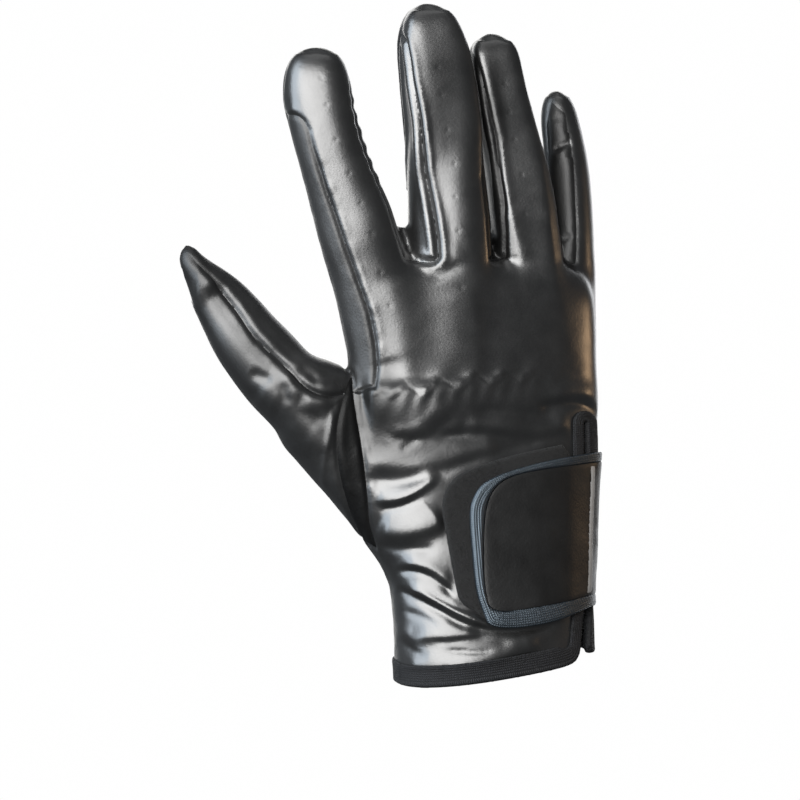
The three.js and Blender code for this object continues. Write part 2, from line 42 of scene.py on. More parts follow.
# ------------------------------------------------------------------ sizes, mm
WALL = 1.0  # leather
HEM_ACROSS, HEM_DEPTH, HEM_UP = 0.16, 0.15, 2.0  # slope of the wrist edge, and its height
HEM_TAPE, SLIT_TAPE = 6.5, 3.1  # widths of the edge tape
SLIT_TOP = 84.0
CELL = 1.4  # grid for the first skin
TURN = math.radians(-20)  # the seams are laid out on a plane turned by this

# The seam plane: across = C*x + S*y, and up = z. IN points into it.
C, S = math.cos(TURN), math.sin(TURN)
IN = np.array([-S, C, 0.0])
ACROSS = np.array([C, S, 0.0])

# Sections: x, y, z of the middle, half width, half thickness to the back and palm.
BODY = [
    (0, 0, -17, 34, 21, 21), (0, 0, 0, 34.4, 21, 21), (-0.5, 0.2, 17, 34.5, 20.3, 21.5), (-1.4, 0.4, 27.2, 35, 19.6, 22),
    (-2.1, 0.5, 34.7, 36.2, 19, 22.5), (-3.2, 0.5, 42.5, 37.8, 18.5, 23), (-4.4, 0.5, 51, 39.3, 17.8, 23.2),
    (-5.5, 0.3, 64.6, 41, 16.8, 22.6), (-6, 0.2, 78.2, 42.7, 16, 21.4), (-6.9, 0, 91.8, 43.8, 15.6, 19.6),
    (-7.8, 0, 105.1, 44, 15.4, 17.6), (-9, 0, 116.3, 44.9, 14.9, 15.8), (-10.1, 0, 125.8, 45.4, 14, 14.2),
    (-11.2, 0, 132.6, 44, 12.4, 12.6), (-11.8, 0, 136.7, 40.5, 9.8, 10), (-12.1, 0, 139.1, 34, 6, 6.2), (-12.2, 0, 140.4, 0, 0, 0),
]
INDEX = [
    (-36, 1, 108.8, 12.6, 11.5, 12.5), (-41.2, 1, 125.8, 13, 11.4, 12.2), (-45.9, 1, 138.4, 13.3, 11.2, 11.8),
    (-49.5, 1.2, 150.3, 13.3, 11, 11.2), (-52.8, 1.5, 159.8, 12.6, 10.6, 10.8), (-57, 2, 171.7, 11.7, 10.1, 10.2),
    (-60.3, 2.8, 183.6, 11.5, 9.8, 9.7), (-62.6, 3.6, 193.8, 11.6, 9.4, 9.2), (-62.8, 4.3, 200.6, 11, 8.7, 8.6),
    (-62.4, 4.9, 205.7, 9.4, 7.3, 7.2), (-61.9, 5.3, 209.1, 6.6, 5, 5), (-61.8, 5.5, 211.2, 0, 0, 0),
]
MIDDLE = [
    (-14.4, -1.2, 108.8, 13.6, 12, 12.8), (-15.4, -1.5, 125.8, 13.9, 12, 12.6), (-16.3, -1.6, 138.4, 14.2, 11.8, 12.2),
    (-16.9, -1.6, 150.3, 14.3, 11.4, 11.6), (-17.6, -1.5, 159.8, 13.9, 11, 11.2), (-18.3, -1.2, 171.7, 13.2, 10.6, 10.6),
    (-18.9, -0.8, 183.6, 12.6, 10.2, 10.1), (-19.8, -0.3, 193.8, 12.5, 10, 9.8), (-21.3, 0.6, 207.4, 11.9, 9.4, 9.2),
    (-22.9, 1.3, 215.9, 10.6, 8.5, 8.3), (-24, 1.7, 221, 9, 7.2, 7), (-24.6, 2, 224.4, 6, 4.8, 4.7), (-24.7, 2.1, 226.5, 0, 0, 0),
]
RING = [
    (16.4, 0.5, 108.8, 12.8, 11.2, 12), (14.5, 0.3, 125.8, 12.9, 11.2, 11.8), (13, 0.3, 138.4, 12.6, 11, 11.2),
    (11.5, 0.4, 150.3, 12, 10.6, 10.6), (9.9, 0.7, 159.8, 11.6, 10.2, 10.2), (7.4, 1.4, 173.4, 10.7, 9.7, 9.6),
    (4.1, 2.6, 188.7, 9.7, 9, 8.9), (2.6, 3.6, 198.6, 9, 8.4, 8.3), (1.5, 4.6, 207.4, 8.7, 7.8, 7.7),
    (0.6, 5.1, 211.8, 7.6, 6.6, 6.5), (0.2, 5.5, 214.5, 5.2, 4.5, 4.5), (0.1, 5.7, 216.6, 0, 0, 0),
]
LITTLE = [
    (20.8, 3, 78, 6.5, 6.5, 7), (23.8, 4.5, 92, 9.0, 8.6, 9.2), (27.2, 6, 108.8, 10.2, 9.4, 10), (29, 7.6, 125.8, 9.4, 9, 9.3), (29.9, 8.6, 138.4, 8.9, 8.6, 8.8),
    (30.3, 9.6, 150.3, 8.5, 8.3, 8.3), (30.4, 11, 161.5, 8.2, 8, 8), (30.2, 12.8, 173.4, 7.7, 7.5, 7.5),
    (29.4, 14.6, 183.6, 6.9, 6.8, 6.8), (28.7, 15.8, 189.7, 6, 6, 6), (28.4, 16.8, 194.5, 4.6, 4.6, 4.6),
    (28.2, 17.3, 196.9, 2.8, 2.8, 2.8), (28.2, 17.6, 198.3, 0, 0, 0),
]
THUMB = [
    (-22.6, 4, 43.2, 16.4, 12.5, 13), (-33.4, 5, 56.9, 17, 12.8, 13.4), (-42.1, 6, 67.3, 17, 12.6, 13),
    (-50.9, 7, 77.9, 17, 13.2, 12.4), (-58.1, 7.8, 85.5, 17, 14.0, 12), (-63.7, 8.4, 91.5, 15.9, 14.2, 11.7),
    (-69, 8.8, 94.6, 13.9, 13.8, 11.4), (-73.5, 9.3, 98.2, 13, 13.1, 11.2), (-79.3, 10.1, 105.5, 12.6, 11.7, 10.6),
    (-84.6, 10.8, 111.3, 11.9, 10.4, 10), (-89.2, 11.6, 118.5, 10.9, 8.9, 9), (-93.8, 12.4, 125.2, 9.5, 7.2, 7.6),
    (-99.4, 13.2, 131.7, 7.3, 5.8, 5.6), (-102.7, 13.8, 136.9, 4.8, 4, 3.9), (-104.8, 14.2, 141.2, 2.6, 2.4, 2.4),
    (-106.4, 14.6, 145.2, 0, 0, 0),
]
WEB_INDEX = [(-31, 1, 112, 6.5, 9, 9), (-31.8, 1.4, 134, 6, 7, 5.4), (-33, 2.6, 142.5, 5.5, 4, 3), (-34, 3.2, 147.5, 4.5, 2.4, 2), (-34.4, 3.6, 150.4, 0, 0, 0)]
WEB_MIDDLE = [(-0.5, 1, 112, 6.5, 9, 9), (-0.8, 1.4, 133, 6, 7, 5.4), (-0.9, 2.6, 140, 5, 4, 3), (-1, 3.2, 144.5, 3.6, 2.3, 1.9), (-1, 3.6, 147, 0, 0, 0)]
WEB_RING = [(21.5, 3.6, 112, 6, 8, 8), (22, 4.6, 132, 5.5, 6.5, 4.6), (22.3, 5.6, 138.5, 4.5, 4, 2.8), (22.3, 6.2, 142.5, 3.4, 2.1, 1.8), (22.2, 6.6, 145, 0, 0, 0)]


# --------------------------------------------------------------- number tools
def pchip(x, y, xq):
    x, y = np.asarray(x, float), np.asarray(y, float)
    h, d = np.diff(x), np.diff(y) / np.diff(x)
    m = np.zeros_like(y)
    for i in range(1, len(x) - 1):
        if d[i - 1] * d[i] > 0:
            w1, w2 = 2 * h[i] + h[i - 1], h[i] + 2 * h[i - 1]
            m[i] = (w1 + w2) / (w1 / d[i - 1] + w2 / d[i])
    m[0], m[-1] = d[0], d[-1]
    i = np.clip(np.searchsorted(x, xq) - 1, 0, len(x) - 2)
    t = np.clip((xq - x[i]) / h[i], 0, 1)
    return (2 * t**3 - 3 * t**2 + 1) * y[i] + (t**3 - 2 * t**2 + t) * h[i] * m[i] + (3 * t**2 - 2 * t**3) * y[i + 1] + (t**3 - t**2) * h[i] * m[i + 1]


def smooth(a, sigma):
    r = int(3 * sigma) + 1
    k = np.exp(-0.5 * (np.arange(-r, r + 1) / sigma) ** 2)
    p = np.concatenate([2 * a[0] - a[r:0:-1], a, 2 * a[-1] - a[-2 : -r - 2 : -1]])
    return np.convolve(p, k / k.sum(), "valid")


def step(x, lo, hi):
    t = np.clip((x - lo) / (hi - lo), 0, 1)
    return t * t * (3 - 2 * t)


def bell(x, w):
    return np.exp(-((x / w) ** 2))


def smin(a, b, k):
    h = np.maximum(k - np.abs(a - b), 0) / k
    return np.minimum(a, b) - h * h * h * k / 6


_lattice = np.random.default_rng(7).random((32, 32, 32))


def noise(P, size):
    """Smooth noise from -1 to 1. size: one number, or one for each axis."""
    q = P / size
    i = np.floor(q).astype(int)
    f = q - i
    f = f * f * f * (f * (f * 6 - 15) + 10)
    out = 0
    for dx in (0, 1):
        for dy in (0, 1):
            for dz in (0, 1):
                w = (f[:, 0] if dx else 1 - f[:, 0]) * (f[:, 1] if dy else 1 - f[:, 1]) * (f[:, 2] if dz else 1 - f[:, 2])
                out = out + w * _lattice[(i[:, 0] + dx) % 32, (i[:, 1] + dy) % 32, (i[:, 2] + dz) % 32]
    return 2 * out - 1


def plane(P):
    """Across and up on the seam plane."""
    return P[:, 0] * C + P[:, 1] * S, P[:, 2]


def px(points):
    """Points that were measured on the picture plane, 0.34 mm a step, as across and up."""
    return np.array([((x - 494.5) * 0.34, (670 - y) * 0.34) for x, y in points])


def line_at(points, up):
    p = np.asarray(points, float)
    o = np.argsort(p[:, 1])
    return np.interp(up, p[o, 1], p[o, 0])


def polygon(points, a, b):
    """Signed distance to a closed outline, above nought inside."""
    p = np.asarray(points, float)
    best = np.full(len(a), 1e9)
    inside = np.zeros(len(a), bool)
    for (x0, y0), (x1, y1) in zip(p, np.roll(p, -1, 0)):
        dx, dy = x1 - x0, y1 - y0
        t = np.clip(((a - x0) * dx + (b - y0) * dy) / (dx * dx + dy * dy), 0, 1)
        best = np.minimum(best, np.hypot(a - x0 - t * dx, b - y0 - t * dy))
        cross = (y0 > b) != (y1 > b)
        inside ^= cross & (a < (x1 - x0) * (b - y0) / ((y1 - y0) if y1 != y0 else 1e-9) + x0)
    return np.where(inside, best, -best)


def rounded(points, rounds=2):
    """Chaikin's corner cutting on a closed outline."""
    p = np.asarray(points, float)
    for _ in range(rounds):
        n = np.roll(p, -1, 0)
        p = np.stack([0.75 * p + 0.25 * n, 0.25 * p + 0.75 * n], 1).reshape(-1, 2)
    return p


def curved(points, rounds=2):
    """Chaikin's corner cutting on an open line."""
    p = np.asarray(points, float)
    for _ in range(rounds):
        a, b = p[:-1], p[1:]
        p = np.concatenate([p[:1], np.stack([0.75 * a + 0.25 * b, 0.25 * a + 0.75 * b], 1).reshape(-1, p.shape[1])[1:-1], p[-1:]])
    return p


# ----------------------------------------------------------------- the tubes
class Tube:
    def __init__(self, rows, roll=0.0, power=2.15, upright=False):
        r = np.array(rows, float)
        s = r[:, 2] - r[0, 2] if upright else np.concatenate([[0], np.cumsum(np.linalg.norm(np.diff(r[:, :3], axis=0), axis=1))])
        self.step = 0.5
        n = int(s[-1] / self.step) + 1
        q = np.linspace(0, s[-1], n)
        self.step = q[1]
        self.length = s[-1]
        self.middle = np.stack([smooth(pchip(s, r[:, i], q), 8) for i in range(3)], 1)
        size = [np.sqrt(np.maximum(smooth(pchip(s, r[:, i] ** 2, q), 3), 0.02)) for i in (3, 4, 5)]
        self.half, self.back, self.palm = size
        self.slope = [np.gradient(v, self.step) for v in size]
        along = np.gradient(self.middle, self.step, axis=0)
        if upright:
            along = np.tile([0.0, 0.0, 1.0], (n, 1))
        along /= np.linalg.norm(along, axis=1, keepdims=True)
        side = np.array([1.0, 0, 0]) - along * along[:, :1]
        side /= np.linalg.norm(side, axis=1, keepdims=True)
        palm = np.cross(along, side)
        turn = np.radians(np.interp(self.middle[:, 2], *np.array(roll, float).T) if isinstance(roll, list) else np.full(n, float(roll)))
        turn = smooth(turn, 6)
        c, t = np.cos(turn)[:, None], np.sin(turn)[:, None]
        self.along, self.side, self.deep = along, side * c + palm * t, palm * c - side * t
        self.power = np.interp(self.middle[:, 2], *np.array(power, float).T) if isinstance(power, list) else np.full(n, float(power))
        self.widest = max(self.half.max(), self.back.max(), self.palm.max())
        self.upright = upright
        reach = max(r[:, 3:].max(), 1) + 9
        self.low, self.high = r[:, :3].min(0) - reach, r[:, :3].max(0) + reach
        self.low[1], self.high[1] = r[:, 1].min() - r[:, 4:].max() - 11, r[:, 1].max() + r[:, 4:].max() + 11

    def look(self, table, s):
        i = np.clip((s / self.step).astype(int), 0, len(self.half) - 2)
        t = s / self.step - i
        if table.ndim == 2:
            t = t[:, None]
        return table[i] * (1 - t) + table[i + 1] * t

    def place(self, P):
        """How far along, across and deep each point lies, and how far beyond the end."""
        if self.upright:
            s = P[:, 2] - self.middle[0, 2]
            over = np.maximum(s - self.length, 0)
            s = np.clip(s, 0, self.length)
        else:
            chord = self.middle[-1] - self.middle[0]
            s = np.clip((P - self.middle[0]) @ chord / np.linalg.norm(chord), 0, self.length)
            for _ in range(3):
                s = np.clip(s + ((P - self.look(self.middle, s)) * self.look(self.along, s)).sum(1), 0, self.length)
            over = np.abs(((P - self.look(self.middle, s)) * self.look(self.along, s)).sum(1))
            over = np.where((s <= 0) | (s >= self.length), over, 0)
        d = P - self.look(self.middle, s)
        return s, (d * self.look(self.side, s)).sum(1), (d * self.look(self.deep, s)).sum(1), over

    def distance(self, P):
        s, a, b, over = self.place(P)
        half = self.look(self.half, s)
        t = step(b, -1.5, 1.5)
        deep = self.look(self.back, s) * (1 - t) + self.look(self.palm, s) * t
        dh = self.look(self.slope[0], s)
        dd = self.look(self.slope[1], s) * (1 - t) + self.look(self.slope[2], s) * t
        n = self.look(self.power, s)
        A, B = np.abs(a) / half, np.abs(b) / deep
        q = np.maximum((A**n + B**n) ** (1 / n), 1e-3)
        g = q ** (1 - n)
        ga, gb = A ** (n - 1) / half * g, B ** (n - 1) / deep * g
        gs = np.where(over > 0, 0, (A**n * dh / half + B**n * dd / deep) * g)
        flat = np.hypot(ga, gb)
        near = np.exp(-np.maximum(q - 1, 0) / 0.12)  # far out, a steep end counts for less
        gs = np.abs(gs) * near + np.minimum(np.abs(gs), 0.8 * flat) * (1 - near)
        d = (q - 1) / np.sqrt(ga * ga + gb * gb + gs * gs + 1e-9)
        d = np.maximum(np.maximum(d, -30), np.hypot(a, b) - self.widest)
        return np.where(over > 0, np.hypot(np.maximum(d, 0), over), d)


TUBES = {
    "body": Tube(BODY, 0, 2.25, True),
    "index": Tube(INDEX, [(118, 0), (150, -17), (230, -19)], 2.5), "middle": Tube([tuple(r[:3]) + (max(r[3] - 0.35, 0),) + tuple(r[4:]) for r in MIDDLE], [(118, 0), (134, -12), (146, -20), (164, -20), (182, -5), (230, -5)], [(118, 2.4), (166, 2.4), (184, 4.0), (230, 4.0)]),
    "ring": Tube([(r[0] - 0.3, r[1], r[2], r[3] * 0.93) + tuple(r[4:]) for r in RING], [(112, 0), (130, -6), (160, -6), (230, -4)], [(112, 2.6), (138, 3.0), (166, 5.0), (230, 5.4)]),
    "little": Tube([(r[0] + 0.7,) + tuple(r[1:]) for r in LITTLE], [(108, 0), (122, 6), (142, 50), (230, 50)], 2.15),
    "thumb": Tube(THUMB, -4, 2.35),
    "web_index": Tube(WEB_INDEX, 0, 2), "web_middle": Tube(WEB_MIDDLE, 0, 2), "web_ring": Tube(WEB_RING, 0, 2),
}
FINGERS = ("index", "middle", "ring", "little")


def distances(P):
    out = {}
    for name, tube in TUBES.items():
        d = np.full(len(P), 60.0)
        m = ((P > tube.low) & (P < tube.high)).all(1)
        if m.any():
            d[m] = tube.distance(P[m])
        out[name] = d
    return out


def skin(P, all_d=None):
    """Signed distance to the glove's outer skin, below nought inside."""
    d = all_d or distances(P)
    core = d["body"]
    for web in ("web_index", "web_middle", "web_ring"):
        core = smin(core, d[web], 6.0)
    core = smin(core, d["thumb"], 5.5)
    fingers = np.minimum(np.minimum(d["index"], d["middle"]), np.minimum(d["ring"], d["little"]))
    return smin(core, fingers, 6.0)


def normal_at(P, e=0.2):
    g = np.stack([skin(P + o) - skin(P - o) for o in np.eye(3) * e], 1)
    return g / np.maximum(np.linalg.norm(g, axis=1, keepdims=True), 1e-9)


def settle(P, rounds=2):
    for _ in range(rounds):
        n = normal_at(P)
        P = P - n * np.clip(skin(P), -1, 1)[:, None]
    return P


# ------------------------------------------------------------- mesh cutting
def unique_edges(a, b, n):
    key = np.minimum(a, b).astype(np.int64) * n + np.maximum(a, b)
    u, inv = np.unique(key, return_inverse=True)
    return (u // n).astype(int), (u % n).astype(int), inv


def cut(V, T, f, tags, level=0.0, snap=0.07):
    """Splits the triangles along f = level. tags: arrays for each triangle, carried on.
    Returns the points, the triangles, the tags, and the side of each triangle."""
    f = f - level
    f = np.where(np.abs(f) < snap, 0.0, f)
    s = np.sign(f).astype(int)
    ts = s[T]
    cross = np.stack([ts[:, 0] * ts[:, 1] < 0, ts[:, 1] * ts[:, 2] < 0, ts[:, 2] * ts[:, 0] < 0], 1)
    n = cross.sum(1)
    E = np.stack([T, np.roll(T, -1, 1)], 2)
    ea, eb = E[cross][:, 0], E[cross][:, 1]
    new_V = V
    ids = np.full(cross.shape, -1)
    if len(ea):
        ua, ub, inv = unique_edges(ea, eb, len(V))
        t = f[ua] / (f[ua] - f[ub])
        new_V = np.concatenate([V, V[ua] + t[:, None] * (V[ub] - V[ua])])
        ids[cross] = len(V) + inv.reshape(-1)
    keep = n == 0
    out_T, out_p, out_s = [T[keep]], [np.nonzero(keep)[0]], [np.where(ts[keep].sum(1) >= 0, 1, -1)]
    one = np.nonzero(n == 1)[0]
    if len(one):
        k = cross[one].argmax(1)
        b, c, a = T[one, k], T[one, (k + 1) % 3], T[one, (k + 2) % 3]
        p = ids[one, k]
        out_T += [np.stack([a, b, p], 1), np.stack([a, p, c], 1)]
        out_p += [one, one]
        out_s += [s[b], s[c]]
    two = np.nonzero(n == 2)[0]
    if len(two):
        k = (~cross[two]).argmax(1)  # this edge isn't crossed, so the lone corner is opposite
        b, c, a = T[two, k], T[two, (k + 1) % 3], T[two, (k + 2) % 3]
        p, q = ids[two, (k + 2) % 3], ids[two, (k + 1) % 3]  # on a-b, on c-a
        out_T += [np.stack([a, p, q], 1), np.stack([p, b, c], 1), np.stack([p, c, q], 1)]
        out_p += [two] * 3
        out_s += [s[a], s[b], s[b]]
    parent = np.concatenate(out_p)
    return new_V, np.concatenate(out_T), [t[parent] for t in tags], np.concatenate(out_s)


def refine(V, T, tags, longest):
    """Splits every edge longer than longest, a number for each vertex."""
    E = np.stack([T, np.roll(T, -1, 1)], 2)
    length = np.linalg.norm(V[E[..., 0], :3] - V[E[..., 1], :3], axis=2)
    mark = length > np.minimum(longest[E[..., 0]], longest[E[..., 1]])
    if not mark.any():
        return V, T, tags, 0
    ua, ub, inv = unique_edges(E[mark][:, 0], E[mark][:, 1], len(V))
    ids = np.full(mark.shape, -1)
    ids[mark] = len(V) + inv.reshape(-1)
    V2 = np.concatenate([V, (V[ua] + V[ub]) / 2])
    n = mark.sum(1)
    out_T, out_p = [T[n == 0]], [np.nonzero(n == 0)[0]]
    one = np.nonzero(n == 1)[0]
    if len(one):
        k = mark[one].argmax(1)
        a, b, c, p = T[one, k], T[one, (k + 1) % 3], T[one, (k + 2) % 3], ids[one, k]
        out_T += [np.stack([a, p, c], 1), np.stack([p, b, c], 1)]
        out_p += [one] * 2
    two = np.nonzero(n == 2)[0]
    if len(two):
        k = (~mark[two]).argmax(1)
        a, b, c = T[two, k], T[two, (k + 1) % 3], T[two, (k + 2) % 3]
        p, q = ids[two, (k + 1) % 3], ids[two, (k + 2) % 3]  # on b-c, on c-a
        out_T += [np.stack([p, c, q], 1), np.stack([a, b, p], 1), np.stack([a, p, q], 1)]
        out_p += [two] * 3
    three = np.nonzero(n == 3)[0]
    if len(three):
        a, b, c = T[three].T
        p, q, r = ids[three].T
        out_T += [np.stack([a, p, r], 1), np.stack([p, b, q], 1), np.stack([r, q, c], 1), np.stack([p, q, r], 1)]
        out_p += [three] * 4
    parent = np.concatenate(out_p)
    return V2, np.concatenate(out_T), [t[parent] for t in tags], len(ua)


def vertex_normals(V, T):
    a, b, c = V[T[:, 0]], V[T[:, 1]], V[T[:, 2]]
    n = np.cross(b - a, c - a)
    out = np.zeros_like(V)
    for k in range(3):
        np.add.at(out, T[:, k], n)
    return out / np.maximum(np.linalg.norm(out, axis=1, keepdims=True), 1e-12)


def slope_of(V, T, f):
    """How fast f changes along the skin, at each vertex."""
    a, b, c = V[T[:, 0]], V[T[:, 1]], V[T[:, 2]]
    n = np.cross(b - a, c - a)
    area2 = np.maximum((n * n).sum(1), 1e-10)
    g = (np.cross(n, c - b) * f[T[:, 0]][:, None] + np.cross(n, a - c) * f[T[:, 1]][:, None] + np.cross(n, b - a) * f[T[:, 2]][:, None]) / area2[:, None]
    w = np.sqrt(area2)
    g = np.linalg.norm(g, axis=1) * w
    num, den = np.zeros(len(V)), np.zeros(len(V))
    for k in range(3):
        np.add.at(num, T[:, k], g)
        np.add.at(den, T[:, k], w)
    return num / np.maximum(den, 1e-9)


def true_distance(V, T, f):
    return f / np.clip(slope_of(V, T, f), 0.35, 4.0)


def compact(V, T):
    used, inv = np.unique(T, return_inverse=True)
    return V[used], inv.reshape(-1, 3), used


# ------------------------------------------------------------ the first skin
def first_skin():
    low, high = np.array([-112.0, -27.0, -13.0]), np.array([44.0, 32.0, 231.0])
    n = np.ceil((high - low) / CELL).astype(int) + 1
    axes = [low[i] + CELL * np.arange(n[i]) for i in range(3)]
    grid = {}
    for name, tube in TUBES.items():
        a = [np.nonzero((axes[i] > tube.low[i]) & (axes[i] < tube.high[i]))[0] for i in range(3)]
        sl = tuple(slice(v[0], v[-1] + 1) for v in a)
        P = np.stack(np.meshgrid(*[axes[i][sl[i]] for i in range(3)], indexing="ij"), -1).reshape(-1, 3)
        full = np.full(n, 60.0, np.float32)
        full[sl] = tube.distance(P).reshape([len(v) for v in a]).astype(np.float32)
        grid[name] = full
    values = skin(None, grid).astype(np.float32)
    g = openvdb.FloatGrid(background=60.0)
    g.copyFromArray(values)
    points, quads = g.convertToQuads(isovalue=0.0)
    V = points.astype(float) * CELL + low
    Q = quads.astype(int)
    T = np.concatenate([Q[:, [0, 1, 2]], Q[:, [0, 2, 3]]])
    a, b, c = V[T[:, 0]], V[T[:, 1]], V[T[:, 2]]
    if (a * np.cross(b, c)).sum() < 0:
        T = T[:, ::-1]
    return V, T


# ------------------------------------------------------------ seams and folds
# Seam lines of each finger's near side and of the thumb, on the seam plane.
NEAR_SEAM = {
    "middle": px([(402, 17), (403.5, 21.4), (406.5, 42.8), (409.6, 61.2), (412.7, 84.2), (416.5, 103.3), (419.5, 119.4), (423.6, 155.9), (425.3, 174.3), (429.9, 196), (434.5, 220.2), (437.9, 242), (438.9, 262), (438.9, 300)]),
    "ring": px([(469, 36), (472, 44), (476, 56), (488, 102), (496.5, 139), (499.5, 170), (504, 199), (506, 233), (505.5, 250), (505.5, 300)]),
    "little": px([(558, 90), (562, 96), (566, 103), (571, 118), (575, 146), (577, 189), (578.6, 232), (577, 262), (576, 300)]),
}
SEAM_TOP = {"middle": 218.0, "ring": 212.5, "little": 193.5}  # above here they run over the tip
SIDE_PANEL = px([(250, 118.2), (286, 118), (294, 117.5), (300, 119.5), (305, 124), (309.5, 133), (313, 149), (319, 168), (327, 194), (336, 219), (347, 251), (359, 285), (369, 313), (375, 343), (377, 369), (376, 386), (360, 391), (345, 392), (250, 392)])
# Depth of the palm seam down the near edge of the hand and index, and the far edge.
NEAR_EDGE = np.array([(-40, 7), (60, 6), (90, 4.4), (105, 5), (112, 5.8), (150, 6.2), (166, 6.4), (183.6, 6.8), (194, 6.4), (203, 5.6), (212, 5.5)], float)
FAR_EDGE = np.array([(-40, 4), (97, 4), (120, 7)], float)
FAR_SEAM = {  # z, depth of the back seam and of the palm seam from the finger's middle
    "index": [(108.8, 6, 5), (150.3, 5.4, 5), (183.6, 5, 4.4), (196, 3.6, 3.2), (205, 0.3, 0.2), (230, 0.3, 0.2)],
    "middle": [(108.8, 6, 5.4), (150.3, 5.4, 5.2), (183.6, 5, 4.6), (205, 3.6, 3.2), (218, 0.3, 0.2), (240, 0.3, 0.2)],
    "ring": [(108.8, 5.4, 5), (150.3, 5, 4.8), (173.4, 4.6, 4.4), (196, 3.4, 3), (208, 0.3, 0.2), (240, 0.3, 0.2)],
    "little": [(108.8, 0, 0), (240, 0, 0)],
}
NEAR_PALM = {
    "middle": [(108.8, 5.4), (150.3, 5.2), (171.7, 5), (193.8, 4.4), (210, 3.4), (219, 0.3), (240, 0.3)],
    "ring": [(108.8, 5), (150.3, 5), (173.4, 4.6), (198.6, 4), (210, 0.3), (240, 0.3)],
    "little": [(108.8, 5), (150.3, 4.8), (173.4, 4.2), (186, 3), (193, 0.3), (240, 0.3)],
}
WEB_SEAM = {"web_index": (134.4, 140.0), "web_middle": (140.6, 138.0), "web_ring": (137.0, 137.0)}  # height at the back, at the palm
THUMB_BASE = [(-48.5, 100.6), (-50.8, 93.5), (-53.6, 81.3), (-53.2, 70.7), (-50.8, 57.8), (-47.8, 49.0), (-44.7, 43.9)]
GUSSET_EDGE = [(-48.1, 98.6), (-47.1, 88.1), (-45.4, 79.6), (-43.7, 66.3), (-43.0, 57.8), (-42.8, 49.0), (-40.3, 41.5)]
THUMB_SEAM = [(-109, 150), (-107.6, 148.2), (-104.6, 142.5), (-100.1, 136.7), (-95.0, 132.3), (-91.3, 127.2), (-86.5, 121.4), (-82.1, 114.2), (-77.7, 109.5), (-71.9, 104.4), (-68.5, 101.0), (-64.1, 96.2), (-59.7, 93.6), (-53.9, 92.8), (-46.8, 95.2)]
SLIT = np.array([(-14, 29.2, 1.9), (5, 30.0, 1.8), (20, 30.9, 1.6), (38, 31.2, 1.4), (58, 31.2, 1.2), (SLIT_TOP, 30.6, 1.05)])
THUMB_ZONE = [(-76, 160), (-140, 160), (-140, 30), (-44.7, 30)] + [tuple(p) for p in curved(THUMB_BASE, 2)[::-1]] + [(-56, 108), (-63, 126)]
GUSSET = [tuple(p) for p in curved(THUMB_BASE, 2)] + [tuple(p) for p in curved(GUSSET_EDGE, 2)[::-1]]
THUMB_LOW = [tuple(p) for p in curved(THUMB_SEAM, 2)] + [(-30, 95.2), (-30, 20), (-150, 20), (-150, 150)]

